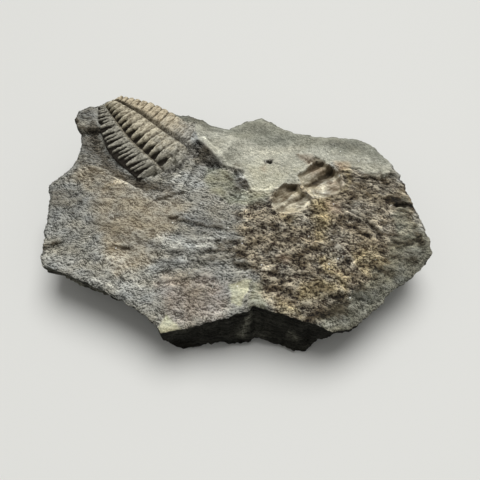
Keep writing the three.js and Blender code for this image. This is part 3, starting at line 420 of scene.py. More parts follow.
def hashed(cells, seed):
    """A number from 0 to 1 for each whole-numbered place, the same on every run."""
    mixed = np.full(cells.shape[:-1], seed * SEED_STEP + SEED_START, dtype=np.uint64)
    for axis in range(cells.shape[-1]):
        mixed = (mixed ^ cells[..., axis].astype(np.uint64)) * SCATTER
        mixed ^= mixed >> SCATTER_SHIFT
    return (mixed >> np.uint64(64 - USED_BITS)).astype(float) / 2 ** USED_BITS


def noise(*place, seed=0):
    """Gradient noise of two or three coordinates, about one unit across, from about -1 to 1."""
    points = np.stack(np.broadcast_arrays(*place), -1).astype(float)
    cells = np.floor(points)
    offset = points - cells
    cells = cells.astype(np.int64)
    fade = offset ** 3 * (offset * (offset * 6 - 15) + 10)
    total = np.zeros(points.shape[:-1])
    for corner in np.ndindex(*(2,) * len(place)):
        corner = np.array(corner)
        near = offset - corner
        slope = 0
        for axis in range(len(place)):
            slope = slope + (hashed(cells + corner, seed * 7 + axis + 1) * 2 - 1) * near[..., axis]
        total += slope * np.prod(np.where(corner, fade, 1 - fade), axis=-1)
    return total * NOISE_GAIN


def layered(*place, seed=0, layers=4, gain=0.55):
    """Noise with finer noise on it."""
    total = 0
    for layer in range(layers):
        scale = FINER ** layer
        total = total + gain ** layer * noise(*(part * scale for part in place), seed=seed + layer)
    return total


def swirled(x, y, swirls):
    """Places moved about a little."""
    new_x, new_y = x, y
    for size, reach_x, reach_y, seed_x, seed_y in swirls:
        new_x = new_x + reach_x * noise(x / size, y / size, seed=seed_x)
        new_y = new_y + reach_y * noise(x / size, y / size, seed=seed_y)
    return new_x, new_y


def to_line(x, y, line):
    """Distance to a line of points, the side (1 on its left), and how far past its ends it is."""
    best = np.full(x.shape, np.inf)
    side = np.ones(x.shape)
    past = np.zeros(x.shape)
    last = len(line) - 2
    for i, ((ax, ay), (bx, by)) in enumerate(zip(line, line[1:])):
        length = math.hypot(bx - ax, by - ay)
        along = ((x - ax) * (bx - ax) + (y - ay) * (by - ay)) / length
        held = np.clip(along, 0, length)
        distance = np.hypot(x - ax - (bx - ax) * held / length, y - ay - (by - ay) * held / length)
        is_end = ((along < 0) & (i == 0)) | ((along > length) & (i == last))
        is_left = (bx - ax) * (y - ay) - (by - ay) * (x - ax) >= 0
        nearer = distance < best
        side = np.where(nearer, np.where(is_left, 1, -1), side)
        past = np.where(nearer, np.where(is_end, np.abs(along - held), 0), past)
        best = np.where(nearer, distance, best)
    return best, side, past


def inside(x, y, outline):
    """Whether each point is inside a closed outline."""
    within = np.zeros(x.shape, dtype=bool)
    for (ax, ay), (bx, by) in zip(outline, outline[1:] + outline[:1]):
        crosses = (ay > y) != (by > y)
        meets = (bx - ax) * (y - ay) / ((by - ay) or 1e-9) + ax
        within ^= crosses & (x < meets)
    return within


def patch(x, y, outline, edge):
    """1 inside an outline and 0 outside it, with an edge this soft."""
    distance = to_line(x, y, outline + outline[:1])[0]
    signed = np.where(inside(x, y, outline), distance, -distance)
    return smooth(signed, -edge / 2, edge / 2)


def faded(distance, reach):
    """1 close to the middle of a mark and 0 away from it."""
    return 1 - smooth(distance, 0.3 * reach, 1.4 * reach)


def zone_masks(x, y):
    """How much of each kind of rock there is at each point of the top face."""
    wandering = swirled(x, y, BORDER_SWIRLS)
    clear = blend(x, wandering[0], CLEAR_WANDER), blend(y, wandering[1], CLEAR_WANDER)
    masks = {}
    for name, zone in ZONES.items():
        place = wandering if zone.edge > CLEAR_EDGE else clear
        mask = np.zeros(x.shape)
        for outline in zone.outlines:
            mask = np.maximum(mask, patch(*place, outline, zone.edge))
        cloudy = 1 + CLOUDINESS * noise(x / 3, y / 2.4, seed=17) * smooth(zone.edge, 1, CLEAR_EDGE)
        masks[name] = np.clip(mask * zone.strength * cloudy, 0, 1)
    return masks


def marks(x, y):
    """How much lighter or darker, and how much higher, each point is through stains, painted shadows and
    scars.
    """
    place = swirled(x, y, MARK_SWIRLS)
    torn = 0.4 * layered(x / 1.3, y / 0.7, seed=27, layers=3)
    tone = np.zeros(x.shape)
    rise = np.zeros(x.shape)
    stains_and_shadows = [(half_width, lighter, 0, *line) for half_width, lighter, *line in STAINS_AND_SHADOWS]
    for half_width, lighter, higher, *line in stains_and_shadows + SCARS:
        share = faded(to_line(*place, line)[0] + torn, half_width)
        tone += lighter * share
        rise += higher * share
    return tone, rise


def edge_distance(x, y):
    runs = (LEFT_RUN, BACK_RUN, RIGHT_RUN, FRONT_RUN)
    return np.min([to_line(x, y, [corner[:2] for corner in run])[0] for run in runs], axis=0)


def ground(x, y, from_edge):
    """Height of the rock's top face, without its fine relief."""
    total = np.zeros(x.shape)
    weights = np.zeros(x.shape)
    for spot_x, spot_y, height in SPOT_HEIGHTS:
        weight = np.exp(-((x - spot_x) ** 2 + (y - spot_y) ** 2) / SPOT_REACH ** 2)
        total += weight * height
        weights += weight
    z = total / weights
    for height, size_x, size_y, start_x, start_y in LUMPS:
        z += height * lumps(x / size_x + start_x, y / size_y + start_y)
    ragged_x, ragged_y = swirled(x, y, STEP_SWIRLS)
    for line, rise, width, reach in STEPS:
        distance, side, past = to_line(ragged_x, ragged_y, line)
        z += rise / 2 * side * smooth(distance, 0, width / 2) * np.exp(-distance / reach - past)
    for pit_x, pit_y, half_x, half_y, depth in PITS:
        r = ((ragged_x - pit_x) / half_x) ** 2 + ((ragged_y - pit_y) / half_y) ** 2
        z -= depth * np.clip(1 - r, 0, 1) ** PIT_ROUNDNESS
    z -= EDGE_WEAR * (1 - smooth(from_edge, 0, EDGE_WEAR_WIDTH))
    z -= BED_DEPTH * patch(ragged_x, ragged_y, BED, BED_EDGE)
    bevel = smooth(x, *BEVEL_X) * (1 - smooth(y, *BEVEL_Y))
    return z - BEVEL_DROP * bevel * (1 - smooth(from_edge, 0, BEVEL_WIDTH))


# The direction of the grain, how far each kind of fine relief stands out, and how much of it is left
# on the smooth rock and taken away in the moulds.
GRAIN_ALONG = (0.94, -0.34)
CRINKLE_HEIGHT = 0.2
CLOT_HEIGHT = 0.2
LAYER_HEIGHT = 0.22
GRAIN_HEIGHT = 0.08
SWELL_HEIGHT = 0.28
SMOOTH_SHARE = 0.35
MOULD_LOSS = 0.85
# The thin layers that the rock has broken along: how thick they are and how soft their steps. The
# thick ones take a larger share on the crust.
THIN_LAYERS = (0.26, 0.4)
THICK_LAYERS = (0.7, 0.35)
THICK_SHARE = 0.35
THICK_SHARE_ON_CRUST = 0.55
LAYERED_SHARE = 0.85
# How much painted shade darkens slopes that fall to the front, and how light the clouds on the crust get at
# most.
FRONT_PAINTED_SHADE = 0.8
LIGHTEST_CLOUD = 0.38


def fine_relief(x, y, masks):
    """The grain of the broken rock: crinkled on the left, clotted crust on the right, fine at the back."""
    along = GRAIN_ALONG[0] * x + GRAIN_ALONG[1] * y
    across = GRAIN_ALONG[0] * y - GRAIN_ALONG[1] * x + 0.5 * noise(x / 3, y / 3, seed=30)
    crinkle = 0.8 - 2 * np.abs(noise(along / 2.4, across / 0.95, seed=31))
    crinkle += 0.7 * noise(along / 1.2, across / 0.55, seed=32)
    clots = layered(along / 1.9, across / 0.95, seed=41, layers=3, gain=0.7)
    layers = noise(along / 6, across / 1.3, seed=43) * smooth(x, 25, 40)
    grain = layered(x / 0.8, y / 0.7, seed=51, layers=2)
    swell = layered(x / 5, y / 3.4, seed=53, layers=2)
    crust = masks["crust"]
    even = np.clip(masks["smooth"] + masks["cream"] + masks["pale"], 0, 1) * (1 - crust)
    relief = blend(CRINKLE_HEIGHT * crinkle, CLOT_HEIGHT * clots + LAYER_HEIGHT * layers, crust)
    relief += GRAIN_HEIGHT * grain + SWELL_HEIGHT * swell
    return relief * blend(1, SMOOTH_SHARE, even)


def terraced(z, step, softness):
    """Heights in small flat steps, as where thin layers of shale have broken off."""
    level = z / step
    whole = np.floor(level)
    return (whole + smooth(level - whole, 0.5 - softness / 2, 0.5 + softness / 2)) * step


def chord_ends(outline, across):
    """Where lines along a mould cross its outline, at each distance across."""
    low = np.full(across.shape, np.inf)
    high = np.full(across.shape, -np.inf)
    for (ax, ay), (bx, by) in zip(outline, outline[1:] + outline[:1]):
        meets = (ay - across) * (by - across) <= 0
        place = ax + (bx - ax) * (across - ay) / ((by - ay) or 1e-9)
        low = np.where(meets, np.minimum(low, place), low)
        high = np.where(meets, np.maximum(high, place), high)
    return low, high


def along_profile(profile, place, column):
    """A column of a profile at each place, eased between its points."""
    value = np.full(place.shape, float(profile[0][column]))
    for before, after in zip(profile, profile[1:]):
        eased = blend(before[column], after[column], smooth(place, before[0], after[0]))
        value = np.where(place >= before[0], eased, value)
    return value


def mould(x, y, middle, outline, low_end, high_end):
    """How deep a mould is at each point, 0 outside it, and how much lighter it is there, as painted shade and
    light with streaks of grain.
    """
    cosine, sine = math.cos(MOULD_TURN), math.sin(MOULD_TURN)
    turn = np.array([[cosine, sine], [sine, -cosine]])
    rim = [tuple(turn @ (np.array(point) - middle)) for point in outline]
    bent_x, bent_y = swirled(x, y, MOULD_SWIRLS)
    along, across = np.tensordot(turn, [bent_x - middle[0], bent_y - middle[1]], 1)
    low, high = chord_ends(rim, across)
    share = np.clip((along - low) / np.maximum(high - low, 0.1), 0, 1)
    within = np.isfinite(low)
    across = across + 0.35 * noise(along / 3, across / 2, seed=66)
    open_ends = smooth(along - low, 0, 1.6) * smooth(high - along, 0, 0.8)
    # The profiles' tones are painted shade on the front-facing walls and painted light on the floor's ridges.
    depth, tone = (
        blend(along_profile(low_end, across, column), along_profile(high_end, across, column), share)
        for column in (1, 2)
    )
    depth = (depth + 0.16 * noise(across / 0.4, along / 4, seed=63) * smooth(depth, 0.2, 1)) * open_ends
    streaks = 0.38 * noise(across / 0.3, along / 3.5, seed=64)
    streaks += 0.35 * noise(across / 0.8, along / 2.4, seed=65)
    return np.where(within, depth, 0), np.where(within & (open_ends > 0), tone + streaks, 0)


def spread(count, dense_from, dense_to, extra):
    """Fractions from 0 to 1 that lie closer together between two of them."""
    place = np.linspace(0, 1, 2000)
    is_dense = smooth(place, dense_from - 0.05, dense_from + 0.03)
    is_dense *= 1 - smooth(place, dense_to - 0.03, dense_to + 0.05)
    density = 1 + extra * is_dense
    filled = np.concatenate([[0], np.cumsum((density[1:] + density[:-1]) / 2)])
    return np.interp(np.linspace(0, filled[-1], count + 1), filled, place)


def along_run(run, fractions):
    """The run's columns at fractions of its length."""
    run = np.array(run, float)
    lengths = np.concatenate([[0], np.cumsum(np.hypot(*np.diff(run[:, :2], axis=0).T))])
    return np.stack([np.interp(fractions * lengths[-1], lengths, column) for column in run.T], -1)


def relief_of(z, reach=4):
    """How much each point of a grid of heights stands above its surroundings."""
    blurred = z
    for axis in (0, 1):
        margins = [(reach, reach) if axis == side else (0, 0) for side in (0, 1)]
        padded = np.pad(blurred, margins, mode="edge")
        blurred = np.lib.stride_tricks.sliding_window_view(padded, 2 * reach + 1, axis).mean(-1)
    return z - blurred


def facing_front(x, y, z):
    """How steeply each point of a grid of heights falls to the front left: 0 where it is level."""
    to_right = np.gradient(z, axis=1) / np.maximum(np.gradient(x, axis=1), 0.05)
    to_back = np.gradient(z, axis=0) / np.maximum(np.gradient(y, axis=0), 0.05)
    return np.clip(0.8 * to_back + 0.4 * to_right, -0.5, 1)


def grid_faces(numbers):
    """Faces between the numbered points of a grid, and the numbers round its rim."""
    corners = numbers[:-1, :-1], numbers[:-1, 1:], numbers[1:, 1:], numbers[1:, :-1]
    rim = [numbers[0, :-1], numbers[:-1, -1], numbers[-1, :0:-1], numbers[:0:-1, 0]]
    return np.stack(corners, -1).reshape(-1, 4), np.concatenate(rim)


def ring_faces(above, below):
    """Faces between two closed rings of numbered points."""
    return np.stack([above, below, np.roll(below, -1), np.roll(above, -1)], -1)


def build_mesh(name, points, quads, triangles, attributes, uv):
    """A smooth mesh object from points in millimetres, faces, numbers for each point, and a map."""
    mesh = bpy.data.meshes.new(name)
    mesh.from_pydata((points * MM).tolist(), [], np.concatenate(quads).tolist() + triangles)
    for label, values in attributes.items():
        attribute = mesh.attributes.new(label, "FLOAT", "POINT")
        attribute.data.foreach_set("value", np.asarray(values, dtype=np.float32))
    layer = mesh.uv_layers.new(name="OFBake")
    corners = np.empty(len(mesh.loops), dtype=np.int32)
    mesh.loops.foreach_get("vertex_index", corners)
    layer.data.foreach_set("uv", uv[corners].astype(np.float32).ravel())
    mesh.shade_smooth()
    piece = bpy.data.objects.new(name, mesh)
    bpy.context.scene.collection.objects.link(piece)
    return piece


# The grid of the top face: points along x and y, from which fraction to which they lie closer
# together, and how much closer.
SLAB_COLUMNS = 340
SLAB_ROWS = 214
DENSE_COLUMNS = (0.6, 0.8, 0.7)
DENSE_ROWS = (0.5, 0.75, 0.7)
# Rings of points down the sides, and on the underside at these fractions of its size.
SIDE_LEVELS = 15
UNDER_RINGS = (0.97, 0.9, 0.75, 0.5, 0.2)
UNDER_ROUGHNESS = 0.3
# The side face goes down from the top's edge to its foot, which is at least this high. From there it
# goes in to the underside, and has done so by this share of the way at this share of the height.
LEAST_FOOT = 1.2
UNDERCUT_KNOT = (0.4, 0.55)
# The slab's flat map, one wide: its margin, the sizes of the underside and the top on it, where the
# top starts, and the strip of the sides, from its upper edge down.
MAP_MARGIN = 0.01
MAP_UNDER = 0.3
MAP_TOP = 0.98
MAP_TOP_START = 0.31
MAP_SIDES_EDGE = 0.29
MAP_SIDES_HEIGHT = 0.06


def top_places():
    """A grid of places that fills the edge, how far inside it they are, and the side facts of its rim."""
    u = spread(SLAB_COLUMNS, *DENSE_COLUMNS)
    v = spread(SLAB_ROWS, *DENSE_ROWS)
    front, back = along_run(FRONT_RUN, u), along_run(BACK_RUN, u)
    left, right = along_run(LEFT_RUN, v), along_run(RIGHT_RUN[::-1], v)
    across, up = u[None, :, None], v[:, None, None]
    between = blend(front[None], back[None], up) + blend(left[:, None], right[:, None], across)
    corners = blend(blend(front[0], front[-1], across), blend(back[0], back[-1], across), up)
    x, y = np.moveaxis((between - corners)[..., :2], -1, 0)
    from_edge = edge_distance(x, y)
    ragged = 0.5 * noise(x / 2.6, y / 2.6, seed=1) + 0.25 * noise(x / 0.9, y / 0.9, seed=2)
    outward = 1 + ragged * np.exp(-from_edge / 1.5) / np.hypot(x, y)
    facts = np.concatenate([front[:-1], right[:-1], back[:0:-1], left[:0:-1]])[:, 2:]
    return x * outward, y * outward, from_edge, facts


def top_face(x, y, from_edge):
    """Heights of the top face, how much lighter it is in places, and numbers for its material."""
    masks = zone_masks(x, y)
    crust = masks["crust"]
    depth, mould_shade_and_streaks = np.sum([mould(x, y, *facts) for facts in MOULDS], axis=0)
    in_mould = smooth(depth, 0.05, 0.25)
    masks["mould"] = in_mould
    tone, rise = marks(x, y)
    z = ground(x, y, from_edge) + (fine_relief(x, y, masks) + rise) * (1 - MOULD_LOSS * in_mould)
    thin = terraced(z, *THIN_LAYERS)
    thick = terraced(z + 0.2 * noise(x / 1.3, y / 1.3, seed=57), *THICK_LAYERS)
    broken = blend(thin, thick, blend(THICK_SHARE, THICK_SHARE_ON_CRUST, crust))
    z = blend(z, broken, LAYERED_SHARE * (1 - in_mould) * (1 - 0.6 * masks["smooth"])) - depth

    tone += 0.14 * layered(x / 3.5, y / 2.6, seed=24, layers=2) * (1 - in_mould) + mould_shade_and_streaks
    # Painted shade: slopes that fall to the front left are darker, less so in the moulds and on the smooth
    # rock.
    facing = facing_front(x, y, z) * smooth(from_edge, 0.2, 2.5)
    tone -= FRONT_PAINTED_SHADE * facing * (1 - 0.7 * in_mould) * (1 - 0.5 * masks["smooth"])
    clouds = 1.9 * layered(x / 3.6, y / 2.3, seed=26, layers=4, gain=0.6) - 0.05
    tone += np.minimum(clouds, LIGHTEST_CLOUD) * crust
    hue = layered(x / 8, y / 5, seed=25, layers=3, gain=0.4) * (1 - 0.7 * masks["smooth"])
    fading = smooth(x + 0.8 * y + 5 * noise(x / 6, y / 5, seed=28), 16, 34)
    clotted = 0.3 + 0.7 * crust * (1 - 0.6 * fading)
    return z, tone, {**masks, "relief": relief_of(z), "hue": hue, "clotted": clotted}


def build_slab():
    """The rock: a fine sheet for the top, rough broken sides and a flat underside."""
    x, y, from_edge, facts = top_places()
    z, tone, numbers = top_face(x, y, from_edge)
    top = np.stack([x, y, z], -1).reshape(-1, 3)
    top_quads, rim = grid_faces(np.arange(len(top)).reshape(z.shape))
    sides = side_rings(top[rim], facts)
    under = [sides[-1] * (share, share, 0) for share in UNDER_RINGS]
    for ring in under:
        ring[:, 2] = UNDER_ROUGHNESS * np.abs(noise(ring[:, 0] / 5, ring[:, 1] / 5, seed=71))
    points = np.concatenate([top, *sides, *under, [[0, 0, 0.1]]])
    rings = [rim, *np.arange(len(top), len(points) - 1).reshape(-1, len(rim))]
    quads = [top_quads] + [ring_faces(above, below) for above, below in zip(rings, rings[1:])]
    inner, middle = rings[-1], np.full(len(rim), len(points) - 1)
    triangles = np.stack([inner, middle, np.roll(inner, -1)], -1).tolist()

    extra = len(points) - len(top)
    attributes = {}
    for name, values in numbers.items():
        attributes[name] = np.concatenate([values.ravel(), np.full(extra, 0.5 if name == "clotted" else 0)])
    # The rim takes on much of the sides' darkness, and all of it along the front.
    lip = 0.6 + 0.6 * noise(rim / 7, rim * 0, seed=89) + smooth(-points[rim, 1], 26, 31)
    lip = np.clip(lip, 0.2, 1)
    attributes["side"] = np.concatenate([np.zeros(len(top)), lip, np.ones(extra - len(rim))])
    of_sides = side_tone(points[len(top):])
    of_sides[:len(rim)] = blend(tone.ravel()[rim], of_sides[:len(rim)], lip ** 4)
    attributes["shade"] = 2 ** np.concatenate([tone.ravel(), of_sides])
    uv = slab_map(points, len(top), len(rim), len(sides))
    return build_mesh("shale_slab", points, quads, triangles, attributes, uv)


def side_tone(points):
    """How much lighter or darker the broken sides are."""
    x, y, z = points.T
    tone = 0.9 * noise(x / 3.5, y / 3.5, z / 4, seed=86) - 0.2
    tone += 0.6 * noise(x / 1.2, y / 1.2, z / 1.5, seed=87)
    tone += 0.5 * noise(x / 14, y / 14, z / 1.4, seed=90)
    # The sides away from the front are lighter; the front face keeps its darkness, partly its own dark
    # weathered surface and partly painted shade.
    tone += 1.5 * smooth(y, -32, -24)
    for middle, reach, lighter in SIDE_MARKS:
        distance = np.linalg.norm(points - middle, axis=1) + 0.5 * noise(x, y, z / 2, seed=88)
        tone += lighter * faded(distance, reach)
    return tone


def side_rings(edge, facts):
    """Rings of points from just under the top edge, down the broken face and in to the underside."""
    face, lean, undercut = facts.T
    x, y, top = edge.T
    foot = np.maximum(top - face, LEAST_FOOT)
    share_in, share_up = UNDERCUT_KNOT
    out_knots = np.stack([0 * lean, lean * 0.5 - 0.2, lean, blend(lean, -undercut, share_in), -undercut])
    z_knots = np.stack([top, (top + foot) / 2, foot, foot * share_up, 0 * foot])
    rings = [edge * (1.0005, 1.0005, 1) - (0, 0, 0.06)]
    for level in range(1, SIDE_LEVELS + 1):
        share = level / SIDE_LEVELS
        place = share * (len(z_knots) - 1)
        knot = min(int(place), len(z_knots) - 2)
        out = blend(out_knots[knot], out_knots[knot + 1], place - knot)
        z = blend(z_knots[knot], z_knots[knot + 1], place - knot)
        rough = 0.9 * noise(x / 4.5, y / 4.5, z / 7, seed=81)
        rough += 0.35 * layered(x / 1.5, y / 1.5, z / 1.2, seed=82, layers=2)
        rough += 0.85 * noise(z / 2.3 + 0.9 * noise(x / 7, y / 7, seed=84), x / 12, y / 12, seed=85)
        scale = 1 + (out + rough * math.sin(math.pi * share) ** 0.6) / np.hypot(x, y)
        rings.append(np.stack([x * scale, y * scale, z], -1))
    return rings


def slab_map(points, top_count, ring_size, side_count):
    """A flat map of the slab: the top, a strip of the sides and the underside, apart from each other."""
    low, high = points.min(0), points.max(0)
    flat = (points[:, :2] - low[:2]) / (high[0] - low[0])
    uv = flat * MAP_UNDER + (MAP_MARGIN, MAP_MARGIN)
    uv[:top_count] = flat[:top_count] * MAP_TOP + (MAP_MARGIN, MAP_TOP_START)
    strip = uv[top_count:top_count + side_count * ring_size].reshape(side_count, ring_size, 2)
    strip[..., 0] = MAP_MARGIN + MAP_TOP * np.arange(ring_size) / ring_size
    strip[..., 1] = MAP_SIDES_EDGE - MAP_SIDES_HEIGHT * np.arange(side_count)[:, None] / side_count
    return uv


# The grid of the trilobite's body, and how deep its hidden skirt goes into the rock.
FLANK_COLUMNS = 62
AXIS_COLUMNS = 50
FOSSIL_ROWS = 330
FOSSIL_SKIRT = 3


def ring_start(ring):
    growing = np.minimum(ring, GROWING_RINGS)
    grown = FIRST_RING * growing + RING_GROWTH / 2 * growing * np.abs(growing)
    return grown + np.maximum(0, ring - GROWING_RINGS) * (FIRST_RING + RING_GROWTH * GROWING_RINGS)


def ridges(position, half_width, softness):
    """1 on ridges in the middle of each unit of position, 0 between them."""
    off = np.abs(position - np.floor(position) - 0.5) * 2
    return 1 - smooth(off, half_width, half_width + softness)


def of_flank(name, on_left, age):
    """A measure of the flank that each point is on."""
    left, right = LEFT_FLANK[name], RIGHT_FLANK[name]
    if isinstance(left, tuple):
        left, right = blend(*left, age), blend(*right, age)
    return np.where(on_left, left, right)


def axis_shape(ring, share, wavy, ribbed, on_left, age):
    """Heights of the axis, with rings that end in teeth on the left, and how far in a hollow they are."""
    a = np.abs(share)
    swelling = ridges(wavy, 0.15, 0.85)
    torn = share + 0.14 * noise(ring * 2.6, share * 5, seed=97)
    tooth_width = blend(0.9, 0.28, smooth(torn, 0.05, 0.6)) - 0.22 * smooth(share, 0.5, 1)
    gap = ribbed * on_left * smooth(torn, 0.1, 0.5) * (1 - ridges(wavy, tooth_width, 0.42))
    gap *= 1 - smooth(ring, 12, 12.6)
    z = blend(of_flank("furrow", on_left, age), blend(*CREST, age), np.clip(1 - share * share, 0, 1) ** 0.7)
    z -= gap * (1 - smooth(a, 0.93, 1)) + 0.45 * ribbed * (1 - swelling) * (1 - smooth(a, 0.8, 1))
    # How dark the shell is made here: dirt and painted shade in the gaps between the teeth, the rings'
    # furrows and the axial furrows.
    hollow = np.maximum(0.75 * gap, 0.4 * ribbed * (1 - swelling) ** 2)
    return z, np.maximum(hollow, np.where(on_left, 0.5 * smooth(a, 0.93, 1), 0.38 * smooth(a, 0.7, 1)))


def spikes(share, part, wavy):
    """1 on the spikes of the left flank and 0 between them, and how uneven each one is."""
    ring = np.floor(wavy)
    in_ring = wavy - ring
    is_split = hashed(ring[..., None].astype(np.int64), 9) > UNSPLIT
    main = np.where(is_split, MAIN_SPIKE, 1)
    is_short = in_ring > main
    in_spike = np.where(is_short, (in_ring - main) / (1.001 - main), in_ring / main)
    uneven = hashed(np.stack([ring * 2 + is_short, part + 2], -1).astype(np.int64), 5) - 0.5
    reach = np.where(is_short, 0.84 + 0.26 * uneven, 0.98 + 0.08 * uneven)
    half = blend(0.75, 0.1, np.clip((share - 0.3) / (reach - 0.3), 0, 1) ** 0.9)
    spike = (1 - smooth(np.abs(in_spike - 0.5) * 2, half, half + 0.2)) * smooth(reach - share, 0, 0.04)
    return spike, uneven


def flank_shape(ring, share, part, wavy, ribbed, on_left, age):
    """Heights of the flanks, spiny on the left and ribbed on the right, and how far in a hollow they are."""
    measures = ("furrow", "ridge", "tip", "end_ring")
    furrow, ridge, tip, end = (of_flank(name, on_left, age) for name in measures)
    slope = np.clip((share - RIDGE_AT) / (1 - RIDGE_AT), 0, 1)
    off = np.abs(wavy - np.floor(wavy) - 0.5) * 2
    spike, uneven = spikes(share, part, wavy)
    spike_gap = ribbed * smooth(share, 0.3, 0.55) * (1 - spike)
    line = smooth(off + 0.15 * noise(ring * 3, share * 4, seed=98), 0.68, 1)
    faint = 1 - 0.6 * smooth(ring, 8, 10.5)
    rib_gap = ribbed * line * smooth(share, 0, 0.15) * np.where(on_left, 1 - smooth(share, 0.35, 0.6), faint)
    rounding = np.where(on_left, 0.35 * (1 - 0.7 * smooth(share, 0.3, 0.6)), 0.45 * faint)
    z = blend(ridge, tip, slope ** 1.3) - (ridge - furrow) * (1 - smooth(share, 0, RIDGE_AT))
    z -= 0.15 * rib_gap + ribbed * off ** 2 * rounding
    z += on_left * (0.5 * ribbed * slope * uneven - blend(0.5, 1.1, share) * spike_gap)
    end = end - 0.8 * (1 - share)
    z -= 4 * smooth(ring, end, end + 0.25) * smooth(share, 0.05, 0.3)
    # How dark the shell is made here: dirt and painted shade in the gaps between spikes and ribs, and painted
    # shade down the right flank's inner slope.
    left_hollow = np.maximum(spike_gap, 0.6 * rib_gap)
    right_hollow = np.maximum(0.5 * rib_gap, 0.58 * (1 - 0.4 * age) * (1 - smooth(share, 0.05, 0.42)))
    return z, np.where(on_left, left_hollow, right_hollow)


def body_place(ring, share, part, wavy, ribbed, on_left, age):
    """Where the points of the body are on the slab."""
    a = np.abs(share)
    is_axis = part == 0
    along = ring_start(ring)
    measures = ("bow", "full_at", "width", "back_sweep")
    bow, full_at, width, back_sweep = (of_flank(name, on_left, age) for name in measures)
    axis_half = np.where(on_left, np.interp(along, *zip(*AXIS_LEFT)), np.interp(along, *zip(*AXIS_RIGHT)))
    growth = np.sin(math.pi / 2 * np.clip((along + 5 - bow) / full_at, 0, 1))
    swept = np.where(is_axis, 0, back_sweep * a ** 1.3 * smooth(ring, -2.4, 1))
    forward = along - bow * np.where(is_axis, a ** 1.5, 1) - swept
    off = np.abs(wavy - np.floor(wavy) - 0.5) * 2
    scallop = np.where(on_left, 0, 0.16 * ribbed * (1 - off * off) * smooth(share, 0.7, 1))
    across = np.where(is_axis, axis_half * share, part * (axis_half + width * growth * share + scallop))
    return [TAIL[i] + AXIS[i] * forward + LEFTWARD[i] * across for i in (0, 1)]


def build_fossil():
    """The trilobite's body: an arched axis of toothed rings between two flanks of ribs."""
    ring = np.linspace(-ROUND_TAIL, RINGS + BROKEN_END, FOSSIL_ROWS)[:, None]
    flank = np.linspace(0, 1, FLANK_COLUMNS)[1:]
    share = np.concatenate([flank[::-1], np.linspace(1, -1, AXIS_COLUMNS), flank])
    part = np.repeat([1.0, 0.0, -1.0], [len(flank), AXIS_COLUMNS, len(flank)])
    ring, share, part = np.broadcast_arrays(ring, share, part)
    is_axis = part == 0
    on_left = np.where(is_axis, share, part) > 0
    age = np.clip(ring_start(ring) / BODY_LENGTH, 0, 1)
    wavy = ring + 0.07 * noise(ring * 0.9, part * 7 + 0.5, seed=91)
    wavy += 0.06 * noise(ring * 2, share * 2.5 + part * 10, seed=94)
    ribbed = smooth(ring, -1.3, -0.4)
    axis_z, axis_hollow = axis_shape(ring, share, wavy, ribbed, on_left, age)
    flank_z, flank_hollow = flank_shape(ring, share, part, wavy, ribbed, on_left, age)
    x, y = body_place(ring, share, part, wavy, ribbed, on_left, age)

    z = np.where(is_axis, axis_z, flank_z) - TAIL_DROP * (1 - smooth(ring, -2, 0.4))
    worn = smooth(ring, WORN_FROM_RING, RINGS + BROKEN_END)
    z = blend(z, np.minimum(z, HEIGHT_IN_FRONT), worn ** 2)
    z += 0.13 * layered(x / 1.1, y / 1.1, seed=92, layers=4, gain=0.7)
    z += 0.09 * noise(wavy * 6, np.abs(share) * 4 + part * 9, seed=96)
    z += 0.8 * layered(x / 1.8, y / 1.8, seed=95, layers=4, gain=0.6) * worn

    top = np.stack([x, y, z], -1).reshape(-1, 3)
    quads, rim = grid_faces(np.arange(len(top)).reshape(z.shape).T)
    points = np.concatenate([top, top[rim] - (0, 0, FOSSIL_SKIRT)])
    skirt = ring_faces(rim, len(top) + np.arange(len(rim)))
    numbers = {
        # Dirt and painted shade in the furrows and gaps.
        "hollow": np.where(is_axis, axis_hollow, flank_hollow),
        "age": age,
        "side": np.where(is_axis, share * 0.4, part * (0.4 + 0.6 * share)),
        "worn": np.where(part < 0, 0.8 * smooth(ring, 8, 12.5), smooth(ring, 12.1, 13.2)),
        "relief": relief_of(z),
    }
    attributes = {}
    for name, values in numbers.items():
        attributes[name] = np.concatenate([values.ravel(), values.ravel()[rim]])
    rows, columns = z.shape
    places = np.meshgrid(np.linspace(0, 1, columns), np.linspace(0, 1, rows))
    uv = np.stack(places, -1).reshape(-1, 2) * 0.94 + 0.03
    uv = np.concatenate([uv, 0.5 + (uv[rim] - 0.5) * 1.04])
    return build_mesh("trilobite_body", points, [quads, skirt], [], attributes, uv)


class Value:
    """What a material's node gives out. Sums and products of values are nodes too."""

    def __init__(self, shader, socket):
        self.shader = shader
        self.socket = socket

    def __add__(self, other):
        return self.shader.maths("ADD", self, other)

    def __sub__(self, other):
        return self.shader.maths("SUBTRACT", self, other)

    def __mul__(self, other):
        return self.shader.maths("MULTIPLY", self, other)

    def ranged(self, low, high, to_low=0, to_high=1):
        """The value from low to high, as one from to_low to to_high."""
        return self.shader.add("MapRange", [self, low, high, to_low, to_high])

    def other(self, output):
        """Another output of the same node."""
        return Value(self.shader, self.socket.node.outputs[output])


